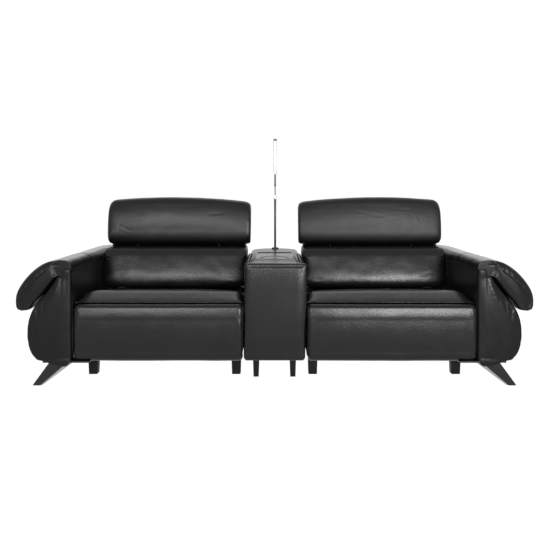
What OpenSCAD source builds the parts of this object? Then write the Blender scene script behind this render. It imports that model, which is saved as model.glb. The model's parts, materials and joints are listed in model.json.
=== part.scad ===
// Two-seat reclining sofa: two power recliner seats, a storage console between them with a
// reading lamp, and wide arms whose padded wings fold. The front faces -Y, and Z = 0 is the floor.

/* [Overall] */
// Distance from the middle of the sofa to the middle of each seat
unit_x = 600; // [590:5:680]
// Width of each seat and its footrest
seat_w = 864; // [780:2:864]
// Distance from the front of the footrest to the middle of the sofa's depth
front_y = 510; // [500:1:520]
// Height of the underside of the bases above the floor
under_z = 130; // [128:1:130]

/* [Seat] */
// Height of the hinge at the top of the footrest
foot_axis_z = 384; // [380:1:388]
// Radius of the rolled top edge of the footrest
foot_roll_r = 34; // [30:1:34]
// Height of the crown in the middle of a seat cushion
seat_crown = 8; // [0:1:12]
// Radius of the rounded sides of a seat cushion
seat_round = 24; // [10:1:30]

/* [Back] */
// Width of a back cushion
back_w = 868; // [800:2:868]
// Swell in the middle of a back cushion
back_crown = 10; // [0:1:14]
// Width of a headrest
head_w = 880; // [800:2:884]
// How far a headrest stands towards the console
head_in = 12; // [0:1:14]
// Height of the headrest's hinge
head_axis_z = 728; // [726:1:740]
// Rise of a headrest's arched top above its ends
head_crown = 30; // [10:1:34]

/* [Arms] */
// Distance from the middle of the sofa to the inner face of an arm
arm_in_x = 1041; // [1041:1:1060]
// Radius of the roll along the top of an arm
roll_r = 44; // [40:1:44]
// Height of the axis of that roll
roll_z = 601; // [596:1:606]
// Length of an arm from front to back
arm_len = 1024; // [1020:2:1060]

/* [Console] */
// Width of the console
console_w = 316; // [296:2:316]
// Height of the console's padded top
console_h = 632; // [620:1:640]
// Length of the storage compartment
store_len = 492; // [400:2:492]

/* [Lamp] */
// Sideways place of the lamp
lamp_x = 4; // [-20:1:20]
// Distance of the lamp behind the middle of the depth
lamp_y = 334; // [300:1:350]
// Length of the black lamp stem
stem_len = 311; // [250:1:360]
// Length of the light bar
bar_len = 212; // [180:1:240]

/* [Hidden] */
$fn = 48;

LEATHER = "#1d1d1f";
WOOD = "#b08d5e";
STEEL = "#3a3c40";
BRIGHT = "#b9bcc0";
PLASTIC = "#151516";
WHITE = "#f4f4f0";

// Clearances: gap between moving faces, and radial play of a pin in its bore
play = 1;
pin_play = 0.05;

// Hinge axes as [y, z]
foot_axis = [-front_y + foot_roll_r + 2, foot_axis_z];
back_axis = [131, 395];
head_axis = [200, head_axis_z];
lid_axis = [82, console_h - 2];

seat_half = seat_w / 2;
back_half = back_w / 2;
console_half = console_w / 2;
roll_x = arm_in_x + roll_r;

// Base frame
rail_x = 391;
rail_w = 30;
rail_top = under_z + rail_w;
base_front = -400;
base_rear = 486;

// Seat frame
board_out = seat_half - 14;
board_t = 18;
board_in = board_out - board_t;
frame_front = -420;
frame_rear = 100;
frame_low = 200;
frame_top = 326;
ear_t = 6;
ear_in = board_in - ear_t;
foot_plate_t = 3;
foot_plate_in = board_out + 9;
rod_z = 180;
rod_r = 10;

// Footrest
cheek_t = 6;
cheek_out = foot_plate_in - play;
cheek_in = cheek_out - cheek_t;
foot_back = -446;
foot_board_t = 16;

// Back frame
hinge_out = ear_in - play;
hinge_in = hinge_out - ear_t;
post_w = 24;
post_y = 205;
post_d = 40;
back_low = 345;
back_top = 640;
head_lug_x = 250;
head_arm_x = 257;
pin_r = 6;

// Arm
panel_x = arm_in_x + 15;
panel_t = 24;
core_front = -478;
core_rear = 478;
flap_bracket_y = [-444, 436];
bracket_t = 8;
barrel_r = 12;
wing_angle = -40;
wing_len = 190;

// Console
store_front = -430;
store_rear = store_front + store_len;
wall_t = 16;
cover_t = 10;
console_front = -508;
console_rear = 402;
rim_z = console_h - 16;
block_z = console_h - 32;

// Switch
switch_y = -370;
switch_z = 276;
button_r = 7;

// Lamp heights
collar_z = console_h + 8 + stem_len;
neck_z = collar_z + 26;
tilt_z = neck_z + 64;
bar_z = tilt_z + 71;

// Point t of the way from p1 to p2 on a smooth curve through p0, p1, p2 and p3
function curve(p0, p1, p2, p3, t) = 0.5 * (2 * p1 + (p2 - p0) * t
  + (2 * p0 - 5 * p1 + 4 * p2 - p3) * t * t + (3 * p1 - p0 - 3 * p2 + p3) * t * t * t);

// Closed smooth outline through the points of p, with k points for each of them
function outline(p, k) = let (n = len(p))
  [for (i = [0 : n - 1], j = [0 : k - 1])
    curve(p[(i + n - 1) % n], p[i], p[(i + 1) % n], p[(i + 2) % n], j / k)];

// Stations along a cushion: how far from its middle, and how much the outline draws in there
function stations(half, round, mid) = let (
    ends = [for (a = [0, 30, 60]) [half - round * (1 - cos(a)), round * (1 - sin(a))]],
    flat = half - round)
  concat([for (e = ends) [-e[0], e[1]]],
    [for (i = [-mid : mid]) [flat * i / mid, 0]],
    [for (i = [2 : -1 : 0]) ends[i]]);

// One ring of a cushion: the outline p drawn in towards c, and swelled along dir by crown
function ring(p, c, size, s, half, crown, dir) = let (
    sx = 1 - s[1] / size[0],
    sy = 1 - s[1] / size[1],
    lift = crown * (1 - pow(s[0] / half, 2)))
  [for (q = p) let (
      d = [(q[0] - c[0]) * sx, (q[1] - c[1]) * sy],
      reach = max(0, d * dir / abs(size * dir)),
      r = c + d + dir * lift * reach)
    [s[0], r[0], r[1]]];

// Solid cushion that lies along X, from an outline in Y and Z listed anticlockwise seen from +X
module cushion(points, half, round, crown, dir, smooth = 2, mid = 3) {
  p = outline(points, smooth);
  ys = [for (q = p) q[0]];
  zs = [for (q = p) q[1]];
  c = [max(ys) + min(ys), max(zs) + min(zs)] / 2;
  size = [max(ys) - min(ys), max(zs) - min(zs)] / 2;
  rings = [for (s = stations(half, round, mid)) ring(p, c, size, s, half, crown, dir)];
  n = len(p);
  m = len(rings);
  polyhedron(
    points = [for (r = rings) each r],
    faces = concat(
      [[for (j = [0 : n - 1]) j]],
      [for (i = [0 : m - 2], j = [0 : n - 1]) let (k = (j + 1) % n)
        [i * n + j, (i + 1) * n + j, i * n + k]],
      [for (i = [0 : m - 2], j = [0 : n - 1]) let (k = (j + 1) % n)
        [i * n + k, (i + 1) * n + j, (i + 1) * n + k]],
      [[for (j = [n - 1 : -1 : 0]) (m - 1) * n + j]]));
}

// Box between two corners
module box(a, b) translate(a) cube(b - a);

// Rod along X, Y or Z from a point
module rod_x(p, r, l) translate(p) rotate([0, 90, 0]) cylinder(r = r, h = l);
module rod_y(p, r, l) translate(p) rotate([-90, 0, 0]) cylinder(r = r, h = l);
module rod_z(p, r, l) translate(p) cylinder(r = r, h = l);

// Plate of an outline in Y and Z, from x on, with thickness t
module plate_x(x, t, points) translate([x, 0, 0]) rotate([90, 0, 90])
  linear_extrude(t) polygon(points);

// Plate of an outline in X and Z, from y on towards the back, with thickness t
module plate_y(y, t, points) translate([0, y + t, 0]) rotate([90, 0, 0])
  linear_extrude(t) polygon(points);

// Square tube between two corners, open along the axis named by its number
module tube(a, b, axis, wall = 2.5) {
  w = [for (i = [0 : 2]) i == axis ? -1 : wall];
  difference() {
    box(a, b);
    box(a + w, b - w);
  }
}

// What stands on the right, and its mirror image on the left
module right_unit() translate([unit_x, 0, 0]) children();
module left_unit() mirror([1, 0, 0]) right_unit() children();
module left_arm() mirror([1, 0, 0]) children();
module both_units() { right_unit() children(); left_unit() children(); }
module both_arms() { children(); left_arm() children(); }
module both_sides() { children(); mirror([1, 0, 0]) children(); }

// Steel base under each seat: two side rails and three cross tubes
module base_frame() {
  both_sides() tube([rail_x - rail_w / 2, base_front, under_z],
    [rail_x + rail_w / 2, base_rear, rail_top], 1);
  for (y = [base_front, 60, base_rear - rail_w])
    tube([rail_w / 2 - rail_x, y, under_z], [rail_x - rail_w / 2, y + rail_w, rail_top], 0);
}

module base_frames() color(STEEL) both_units() base_frame();

// Square foot that tapers downwards
module tapered_foot(top_w, low_w, h) rotate([0, 0, 45])
  cylinder(r1 = low_w / sqrt(2), r2 = top_w / sqrt(2), h = h, $fn = 4);

module block_feet() color(PLASTIC) both_units() both_sides() for (y = [-260, 400])
  translate([rail_x, y, 0]) tapered_foot(54, 46, under_z);

module console_feet() color(PLASTIC) both_sides() for (y = [-318, 330])
  translate([99, y, 0]) tapered_foot(36, 28, under_z);

// Fixed channel of a slide, open along its top
module slide_channel() plate_y(-390, 620, [[-14, 0], [14, 0], [14, 28], [5, 28], [5, 24], [10, 24],
  [10, 4], [-10, 4], [-10, 24], [-5, 24], [-5, 28], [-14, 28]]);

module slide_rails() color(BRIGHT) both_units() both_sides()
  translate([rail_x, 0, rail_top]) slide_channel();

// Drive: outer tube with a blind bore, gearbox and motor
module actuator() {
  difference() {
    rod_y([0, 40, rod_z], 18, 360);
    rod_y([0, 39, rod_z], rod_r + pin_play, 291);
  }
  box([-22, 400, under_z + 24], [76, 432, 203]);
  rod_y([50, 290, 176], 24, 110);
  box([-20, 410, rail_top], [20, 440, under_z + 40]);
}

module actuators() color(PLASTIC) both_units() actuator();

module rear_panels() color(LEATHER) both_units()
  box([-425, base_rear, under_z + 4], [425, base_rear + 12, 330]);

// Inner board of an arm with the board that its legs are bolted to
module arm_boards() {
  box([panel_x, core_front, under_z], [panel_x + panel_t, core_rear, 548]);
  box([panel_x + panel_t, core_front, under_z], [panel_x + 144, core_rear, under_z + 18]);
}

module arm_frames() color(WOOD) both_arms() arm_boards();

// Outline of an arm seen from the front: straight inside, full below, cradle for the roll on top
arm_outline = let (x = arm_in_x, r = roll_r + 2)
  concat([[x, under_z], [x + 149, under_z], [x + 191, 147], [x + 216, 186],
    [x + 227, 235], [x + 229, 284], [x + 223, 338], [x + 206, 387], [x + 184, 421],
    [x + 145, 465], [x + 101, 519]],
    [for (a = [-56, -82, -108, -134]) [roll_x + r * cos(a), roll_z + r * sin(a)]],
    [[x + 1, 566], [x, 540]]);

// Padded cover of the right arm
module arm_cover() {
  difference() {
    rotate([0, 0, -90]) cushion(arm_outline, arm_len / 2, 14, 0, [1, 0], smooth = 1, mid = 1);
    box([panel_x, core_front, under_z - 20], [panel_x + panel_t, core_rear, 548]);
    box([panel_x, core_front, under_z - 20], [panel_x + 144, core_rear, under_z + 18]);
    for (y = flap_bracket_y) box([panel_x, y, 540], [panel_x + panel_t + 12, y + bracket_t, 570]);
  }
}

module right_arm_cover() color(LEATHER) arm_cover();
module left_arm_cover() color(LEATHER) left_arm() arm_cover();

// Splayed leg: a tapered blade with one long bevel on its lower front edge, under a flat plate
module splayed_leg() {
  hull() {
    translate([0, 0, under_z - 9]) linear_extrude(1)
      polygon([[1154, -30], [1095, -36], [1034, -12], [1034, 24], [1154, 24]]);
    linear_extrude(1)
      polygon([[1245, -14], [1210, -16], [1196, -8], [1196, 14], [1245, 14]]);
  }
  box([945, -36, under_z - 8], [1185, 34, under_z]);
}

module splayed_legs() color(STEEL) both_arms() for (y = [-474, 470])
  translate([0, y, 0]) splayed_leg();

// Bracket that carries the roll's pins, standing on the arm's inner board
module flap_bracket(y) {
  plate_y(y, bracket_t, [[panel_x, 548], [panel_x + panel_t, 548], [roll_x + 12, 570],
    [roll_x + 12, roll_z], [roll_x - 12, roll_z], [roll_x - 12, 572], [panel_x, 560]]);
  rod_y([roll_x, y, roll_z], 12, bracket_t);
  rod_y([roll_x, y - 26, roll_z], pin_r, bracket_t + 52);
}

module flap_brackets() color(BRIGHT) both_arms() for (y = flap_bracket_y) flap_bracket(y);

// Board inside the wing, in a frame whose X runs from the roll's axis out along the wing
module wing_board() translate([roll_x, 0, roll_z]) rotate([0, -wing_angle, 0])
  box([26, core_front, -5], [26 + wing_len, core_rear, 5]);

// Barrels on both sides of each bracket, with the lugs that join them to the board
module wing_barrels(bore) for (y = flap_bracket_y, s = [-24, bracket_t + play]) {
  difference() {
    union() {
      rod_y([roll_x, y + s, roll_z], barrel_r, 23);
      translate([roll_x, y + s, roll_z]) rotate([0, -wing_angle, 0]) box([0, 0, -5], [26, 23, 5]);
    }
    if (bore) rod_y([roll_x, y + s - 1, roll_z], pin_r + pin_play, 25);
  }
}

module flap_core() {
  wing_board();
  wing_barrels(true);
}

// Outline of the wing and its roll seen from the front
flap_outline = let (x = arm_in_x, r = roll_r)
  concat([[x + 213, 392], [x + 240, 386], [x + 272, 385], [x + 288, 403], [x + 292, 446],
    [x + 282, 490], [x + 253, 538], [x + 204, 592], [x + 140, 633], [x + 86, 645]],
    [for (a = [90, 118, 146, 174, 202, 230, 258, 286])
      [roll_x + r * cos(a), roll_z + r * sin(a)]],
    [[x + 71, 566], [x + 84, 552], [x + 108, 524], [x + 152, 470], [x + 191, 427]]);

module flap_pad() {
  difference() {
    rotate([0, 0, -90]) cushion(flap_outline, arm_len / 2, 12, 0, [1, 0], smooth = 1, mid = 1);
    wing_board();
    wing_barrels(false);
    for (y = flap_bracket_y) {
      box([arm_in_x - 5, y - play, 540], [roll_x + 16, y + bracket_t + play, roll_z + 14]);
      rod_y([roll_x, y - 28, roll_z], barrel_r, 64);
    }
  }
}

module right_flap_core() color(WOOD) flap_core();
module left_flap_core() color(WOOD) left_arm() flap_core();
module right_flap_pad() color(LEATHER) flap_pad();
module left_flap_pad() color(LEATHER) left_arm() flap_pad();

// Wooden box of a seat
module seat_frame() color(WOOD) {
  both_sides() box([board_in, frame_front, frame_low], [board_out, frame_rear, frame_top]);
  box([-board_in, frame_front, 240], [board_in, frame_front + 20, 322]);
  box([-ear_in, frame_rear - 20, 240], [ear_in, frame_rear, 322]);
}

// Steel brackets of a seat: ears for the back's hinge, plates for the footrest's hinge, pins
module seat_brackets() color(BRIGHT) both_sides() {
  plate_x(ear_in, ear_t, [[40, 220], [158, 220], [158, 395], [104, 395], [104, 318], [40, 318]]);
  rod_x([ear_in, back_axis[0], back_axis[1]], 27, ear_t);
  rod_x([hinge_in, back_axis[0], back_axis[1]], 8, ear_t + play + ear_t);
  plate_x(foot_plate_in, foot_plate_t, [[-395, 255], [-395, 320], [-442, 338], [-462, 384],
    [-486, 384], [-478, 330], [-440, 270]]);
  rod_x([foot_plate_in, foot_axis[0], foot_axis[1]], 14, foot_plate_t);
  rod_x([cheek_in, foot_axis[0], foot_axis[1]], pin_r, cheek_t + play);
  box([board_out, -420, 260], [foot_plate_in, -397, 318]);
}

// Moving halves of the slides and the thrust rod of the drive
module seat_runners() color(BRIGHT) {
  both_sides() translate([rail_x, 0, rail_top]) plate_y(-380, 470, [[-8.5, 6], [8.5, 6],
    [8.5, 22], [3, 22], [3, 32], [board_out - rail_x, 32], [board_out - rail_x, 40], [-9, 40],
    [-9, 32], [-3, 32], [-3, 22], [-8.5, 22]]);
  rod_y([0, -392, rod_z], rod_r, 692);
  box([-14, -400, 165], [14, -390, 250]);
}

// Zigzag spring strip from the front rail to the rear rail
module zigzag(x) {
  n = 16;
  pitch = (frame_rear - frame_front - 20) / n;
  side = [for (i = [0 : n]) [x + (i % 2 == 0 ? -20 : 20), frame_front + 10 + i * pitch]];
  translate([0, 0, 322]) linear_extrude(4) polygon(concat(
    [for (p = side) p + [3, 0]], [for (i = [n : -1 : 0]) side[i] - [3, 0]]));
}

module seat_springs() color(BRIGHT) for (x = [-330 : 110 : 330]) zigzag(x);

// Outline of a seat cushion seen from +X, with a thin lip over the footrest's rolled edge
seat_outline = let (y = foot_axis[0], z = foot_axis[1])
  [[100, 345], [100, 392], [88, 407], [-60, 424], [-240, 450], [-360, 463], [y + 39, z + 67],
    [y + 6, z + 50], [y - 3, z + 42], [y + 2, z + 38], [y + 23, z + 31], [y + 37, z + 13], [y + 47, z - 12],
    [y + 56, z - 44], [-390, 328], [-160, 328], [60, 328]];

module seat_cushion() color(LEATHER)
  cushion(seat_outline, seat_half, seat_round, seat_crown, [0, 1]);

// Round bezel of the seat's switch, with two holes for its buttons
module switch_bezel() color(BRIGHT) difference() {
  rod_x([-seat_half + 3, switch_y, switch_z], 22, seat_half - 3 - board_out);
  for (s = [-1, 1])
    rod_x([-seat_half + 2, switch_y, switch_z + s * 10], button_r + pin_play, 14);
}

module button(s) color(PLASTIC)
  rod_x([-seat_half + 1, switch_y, switch_z + s * 10], button_r, 8);

module open_button() button(1);
module close_button() button(-1);

// Steel frame of a back: posts, cross tubes, straps, hinge plates and the headrest's lugs
module back_frame() color(STEEL) {
  post_out = hinge_in;
  post_in = post_out - post_w;
  both_sides() {
    tube([post_in, post_y, back_low], [post_out, post_y + post_d, back_top], 2);
    difference() {
      union() {
        plate_x(hinge_in, ear_t, [[back_axis[0], 368], [205, back_low], [245, back_low],
          [245, 422], [back_axis[0], 422]]);
        rod_x([hinge_in, back_axis[0], back_axis[1]], 27, ear_t);
      }
      rod_x([hinge_in - 1, back_axis[0], back_axis[1]], 8 + pin_play, ear_t + 2);
    }
    plate_x(head_lug_x, ear_t, [[205, 630], [245, 630], [245, 655], [head_axis[0] + 12,
      head_axis[1]], [head_axis[0] - 12, head_axis[1]], [205, 655]]);
    rod_x([head_lug_x, head_axis[0], head_axis[1]], 12, ear_t);
    rod_x([head_lug_x, head_axis[0], head_axis[1]], pin_r, 20);
  }
  for (z = [back_low, back_top - 40])
    tube([-post_in, post_y, z], [post_in, post_y + post_d, z + 40], 0);
  for (z = [460, 510, 560]) box([-post_out, post_y - 4, z], [post_out, post_y, z + 30]);
}

back_outline = [[188, 452], [194, 540], [188, 632], [176, 656], [148, 664], [118, 656],
  [92, 622], [70, 575], [50, 528], [37, 486], [40, 457], [64, 437], [120, 430], [172, 436]];

module back_cushion() color(LEATHER)
  cushion(back_outline, back_half, 22, back_crown, [-1, 0]);

// Outer shell of a back, open towards its frame
module back_shell() color(LEATHER) {
  outer = [[250, 345], [440, 345], [462, 367], [470, 415], [470, 555], [458, 612], [424, 645],
    [370, 656], [250, 658]];
  inner = [[249, 357], [434, 357], [451, 374], [458, 417], [458, 552], [447, 605], [417, 633],
    [367, 644], [249, 646]];
  difference() {
    plate_x(4 - back_half, 2 * (back_half - 4), outer);
    plate_x(16 - back_half, 2 * (back_half - 16), inner);
  }
}

// Steel plate inside a headrest with the arms that turn on the back's pins
module head_bracket() color(BRIGHT) {
  both_sides() difference() {
    union() {
      plate_x(head_arm_x, ear_t, [[head_axis[0] - 12, head_axis[1]], [head_axis[0] + 12,
        head_axis[1]], [head_axis[0] + 12, 830], [head_axis[0] - 4, 830]]);
      rod_x([head_arm_x, head_axis[0], head_axis[1]], 12, ear_t);
    }
    rod_x([head_arm_x - 1, head_axis[0], head_axis[1]], pin_r + pin_play, ear_t + 2);
  }
  box([-380, head_axis[0] + 2, 790], [380, head_axis[0] + 8, 900]);
}

head_outline = let (y = head_axis[0], z = head_axis[1])
  [[y + 58, z], [y + 66, z + 62], [y + 75, z + 122], [y + 76, z + 164], [y + 64, z + 192],
    [y + 34, z + 206], [y + 2, z + 199], [y - 22, z + 172], [y - 38, z + 122],
    [y - 48, z + 64], [y - 55, z + 14], [y - 50, z - 28], [y - 33, z - 48], [y, z - 57],
    [y + 41, z - 41]];

// Slot in a headrest for the back's lug, wide enough for the headrest's whole tilt
head_slot = let (y = head_axis[0], z = head_axis[1])
  [[y - 16, z + 14], [y + 16, z + 14], [y + 18, z - 8], [y + 60, z - 75], [y - 56, z - 75]];

module headrest() color(LEATHER) difference() {
  translate([-head_in, 0, 0])
    cushion(head_outline, head_w / 2, 34, head_crown, [-0.3, 1]);
  box([-380, head_axis[0] + 2, 790], [380, head_axis[0] + 8, 900]);
  both_sides() {
    box([head_arm_x, head_axis[0] - 12, head_axis[1] - 12],
      [head_arm_x + ear_t, head_axis[0] + 12, 832]);
    plate_x(head_lug_x - 2, head_arm_x + ear_t + 11 - head_lug_x, head_slot);
  }
}

// Board behind a footrest pad, with the cheeks that turn on the seat's pins
module foot_board() color(WOOD) {
  box([-cheek_in, foot_back, 150], [cheek_in, foot_back + foot_board_t, 336]);
  both_sides() difference() {
    union() {
      box([cheek_in, foot_axis[0], 340], [cheek_out, foot_back + foot_board_t, 376]);
      box([cheek_in, foot_back, 290], [cheek_out, foot_back + foot_board_t, 341]);
      rod_x([cheek_in, foot_axis[0], foot_axis[1]], 14, cheek_t);
    }
    rod_x([cheek_in - 1, foot_axis[0], foot_axis[1]], pin_r + pin_play, cheek_t + 2);
  }
}

foot_outline = let (y = foot_axis[0], z = foot_axis[1], r = foot_roll_r)
  concat([[foot_back - 0.8, 180], [foot_back - 1.2, 260], [foot_back - 0.8, 330]],
    [for (a = [-4, 24, 52, 80, 108, 136, 164]) [y + r * cos(a), z + r * sin(a)]],
    [[y - r - 1, z - 40], [y - r - 1.5, z - 110], [y - r - 1, 200], [y - r + 2, 158],
      [y - 12, 135], [foot_back - 10, 141]]);

module foot_pad() color(LEATHER)
  cushion(foot_outline, cheek_in - 0.5, 18, 1.5, [-1, 0]);

module right_seat_frame() right_unit() seat_frame();
module left_seat_frame() left_unit() seat_frame();
module right_seat_brackets() right_unit() seat_brackets();
module left_seat_brackets() left_unit() seat_brackets();
module right_seat_runners() right_unit() seat_runners();
module left_seat_runners() left_unit() seat_runners();
module right_seat_springs() right_unit() seat_springs();
module left_seat_springs() left_unit() seat_springs();
module right_seat_cushion() right_unit() seat_cushion();
module left_seat_cushion() left_unit() seat_cushion();
module right_switch_bezel() right_unit() switch_bezel();
module left_switch_bezel() left_unit() switch_bezel();
module right_open_button() right_unit() open_button();
module left_open_button() left_unit() open_button();
module right_close_button() right_unit() close_button();
module left_close_button() left_unit() close_button();
module right_back_frame() right_unit() back_frame();
module left_back_frame() left_unit() back_frame();
module right_back_cushion() right_unit() back_cushion();
module left_back_cushion() left_unit() back_cushion();
module right_back_shell() right_unit() back_shell();
module left_back_shell() left_unit() back_shell();
module right_head_bracket() right_unit() head_bracket();
module left_head_bracket() left_unit() head_bracket();
module right_headrest() right_unit() headrest();
module left_headrest() left_unit() headrest();
module right_foot_board() right_unit() foot_board();
module left_foot_board() left_unit() foot_board();
module right_foot_pad() right_unit() foot_pad();
module left_foot_pad() left_unit() foot_pad();

// Wooden box of the console: the storage compartment, and closed spaces under and behind it
module console_carcass() color(WOOD) {
  half = console_half - cover_t;
  in = half - wall_t;
  difference() {
    box([-half, console_front + 14, under_z], [half, console_rear - 12, rim_z]);
    box([-in, store_front, 300], [in, store_rear, rim_z + 1]);
    box([-in, console_front + 30, under_z + wall_t], [in, console_rear - 28, 284]);
    box([-in, store_rear + 14, 300], [in, console_rear - 28, 588]);
    box([-half - 1, store_rear + 26, block_z], [half + 1, console_rear, rim_z + 1]);
    box([-104, store_rear - 1, 611], [104, store_rear + 27, rim_z + 1]);
  }
}

// Upholstered outside of the console with rounded upper edges and a rim round the lid
module console_cover() color(LEATHER) {
  r = 20;
  difference() {
    translate([0, console_rear, 0]) rotate([90, 0, 0]) linear_extrude(console_rear - console_front)
      union() {
        translate([-console_half, under_z]) square([console_w, console_h - 2 - r - under_z]);
        translate([r - console_half, under_z]) square([console_w - 2 * r, console_h - 2 - under_z]);
        for (s = [-1, 1]) translate([s * (console_half - r), console_h - 2 - r]) circle(r);
      }
    box([cover_t - console_half, console_front + 14, under_z - 1],
      [console_half - cover_t, console_rear - 12, rim_z]);
    box([-137, store_front - 16, rim_z - 1], [137, console_rear + 1, console_h + 10]);
    box([-console_half - 1, store_rear + 26, block_z], [console_half + 1, console_rear + 1, console_h]);
  }
}

// Fixed padded block behind the lid, which carries the lamp
module console_rear_block() color(LEATHER)
  box([12 - console_half, store_rear + 26, block_z], [console_half - 12, console_rear, console_h]);

// Straps under the console that join it to the bases of the seats
module ganging_straps() color(STEEL) for (y = [-200, 250])
  box([-224, y, under_z - 4], [224, y + 40, under_z]);

// Mains inlet on the back of the console
module power_inlet() color(PLASTIC) difference() {
  box([-26, console_rear, 200], [26, console_rear + 22, 236]);
  box([-15, console_rear + 5, 208], [15, console_rear + 23, 228]);
}

// Fixed half of the lid's hinge with its pin
module lid_hinge() color(BRIGHT) {
  rod_x([-100, lid_axis[0], lid_axis[1]], 1.5, 200);
  both_sides() {
    rod_x([20, lid_axis[0], lid_axis[1]], 3, 40);
    box([20, lid_axis[0] + 1, lid_axis[1] - 3], [60, store_rear + 26, lid_axis[1]]);
  }
}

// Board of the lid with the moving half of the hinge
module lid_board() color(WOOD) {
  in = console_half - cover_t - wall_t - 2;
  box([-in, store_front + 2, rim_z - 12], [in, store_rear - 2, rim_z + 0.5]);
  difference() {
    for (x = [-100, -18, 62]) {
      w = x == -18 ? 36 : 38;
      box([x, store_rear - 3, rim_z - 1.5], [x + w, 80, rim_z + 0.5]);
      box([x, 79, rim_z - 1.5], [x + w, 81.5, lid_axis[1]]);
      rod_x([x, lid_axis[0], lid_axis[1]], 3, w);
    }
    rod_x([-101, lid_axis[0], lid_axis[1]], 1.5 + pin_play, 202);
  }
}

lid_outline = let (z = rim_z + 0.6, top = console_h + 1)
  [[78, z], [78, z + 8], [70, top - 3], [-40, top - 1], [-190, top], [-340, top - 1],
    [store_front - 2, top - 3], [store_front - 12, z + 8], [store_front - 12, z]];

module lid_pad() color(LEATHER) cushion(lid_outline, 134, 5, 1.5, [0, 1], smooth = 1, mid = 2);

// Lamp, from its foot upwards
module lamp_base() color(PLASTIC) rod_z([lamp_x, lamp_y, console_h], 22, 8);

module lamp_stem() color(PLASTIC) rod_z([lamp_x, lamp_y, console_h + 8], 7, stem_len);

module lamp_collar() color(BRIGHT) difference() {
  rod_z([lamp_x, lamp_y, collar_z], 9, 26);
  rod_z([lamp_x, lamp_y, collar_z + 8], 3.2 + pin_play, 20);
}

// Thin neck that turns in the collar, with the knuckle on top
module lamp_neck() color(PLASTIC) difference() {
  union() {
    rod_z([lamp_x, lamp_y, collar_z + 8], 3.2, tilt_z - collar_z - 8);
    rod_x([lamp_x - 3.5, lamp_y, tilt_z], 7, 7);
  }
  rod_x([lamp_x - 4, lamp_y, tilt_z], 2 + pin_play, 8);
}

// Fork, shank and channel of the light bar
module lamp_head() color(PLASTIC) {
  rod_x([lamp_x - 6.5, lamp_y, tilt_z], 2, 13);
  for (s = [-6.5, 4]) {
    rod_x([lamp_x + s, lamp_y, tilt_z], 7, 2.5);
    box([lamp_x + s, lamp_y - 4, tilt_z], [lamp_x + s + 2.5, lamp_y + 4, tilt_z + 14]);
  }
  box([lamp_x - 6.5, lamp_y - 4, tilt_z + 9], [lamp_x + 6.5, lamp_y + 4, tilt_z + 15]);
  rod_z([lamp_x, lamp_y, tilt_z + 15], 5, bar_z - tilt_z - 15);
  difference() {
    box([lamp_x - 10, lamp_y - 6, bar_z], [lamp_x + 10, lamp_y + 6, bar_z + bar_len + 13]);
    box([lamp_x - 7.5, lamp_y - 7, bar_z], [lamp_x + 7.5, lamp_y + 2, bar_z + bar_len]);
  }
}

module lamp_diffuser() color(WHITE)
  box([lamp_x - 7.5, lamp_y - 6.5, bar_z], [lamp_x + 7.5, lamp_y + 2, bar_z + bar_len]);

base_frames();
block_feet();
slide_rails();
actuators();
rear_panels();
arm_frames();
left_arm_cover();
right_arm_cover();
splayed_legs();
flap_brackets();
console_carcass();
console_cover();
console_rear_block();
console_feet();
ganging_straps();
power_inlet();
lid_hinge();
lid_board();
lid_pad();
lamp_base();
lamp_stem();
lamp_collar();
lamp_neck();
lamp_head();
lamp_diffuser();
left_seat_frame();
left_seat_brackets();
left_seat_runners();
left_seat_springs();
left_seat_cushion();
left_switch_bezel();
left_open_button();
left_close_button();
left_back_frame();
left_back_cushion();
left_back_shell();
left_head_bracket();
left_headrest();
left_foot_board();
left_foot_pad();
left_flap_core();
left_flap_pad();
right_seat_frame();
right_seat_brackets();
right_seat_runners();
right_seat_springs();
right_seat_cushion();
right_switch_bezel();
right_open_button();
right_close_button();
right_back_frame();
right_back_cushion();
right_back_shell();
right_head_bracket();
right_headrest();
right_foot_board();
right_foot_pad();
right_flap_core();
right_flap_pad();
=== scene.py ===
import json
import math
import random

import bmesh
import bpy
import numpy as np
from mathutils import Matrix, Vector, noise
from mathutils.bvhtree import BVHTree
from mathutils.kdtree import KDTree

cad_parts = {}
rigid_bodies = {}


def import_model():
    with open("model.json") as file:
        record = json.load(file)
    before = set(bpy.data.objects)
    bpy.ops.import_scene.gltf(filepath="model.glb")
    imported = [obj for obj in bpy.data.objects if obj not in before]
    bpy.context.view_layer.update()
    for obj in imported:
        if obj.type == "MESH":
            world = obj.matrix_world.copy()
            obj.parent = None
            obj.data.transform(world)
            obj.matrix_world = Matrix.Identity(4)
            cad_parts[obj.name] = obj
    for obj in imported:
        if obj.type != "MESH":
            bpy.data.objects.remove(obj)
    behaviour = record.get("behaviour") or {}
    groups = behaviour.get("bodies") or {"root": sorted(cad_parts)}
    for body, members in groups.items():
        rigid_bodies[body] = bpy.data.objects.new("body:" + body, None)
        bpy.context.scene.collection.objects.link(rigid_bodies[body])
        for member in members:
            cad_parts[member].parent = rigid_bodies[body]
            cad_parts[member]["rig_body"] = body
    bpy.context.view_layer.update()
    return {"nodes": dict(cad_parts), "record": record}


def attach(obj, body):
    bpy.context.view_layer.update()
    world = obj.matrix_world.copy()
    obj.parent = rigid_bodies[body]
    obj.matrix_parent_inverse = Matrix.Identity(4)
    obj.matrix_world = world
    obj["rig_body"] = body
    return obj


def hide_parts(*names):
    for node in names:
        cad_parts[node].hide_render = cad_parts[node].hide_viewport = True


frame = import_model()
scene = bpy.context.scene
scene.view_settings.view_transform = "Standard"

# Shapes are given in millimetres, and MM turns them into metres. The camera, the lights and the
# floor are in metres.
MM = 0.001

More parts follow.
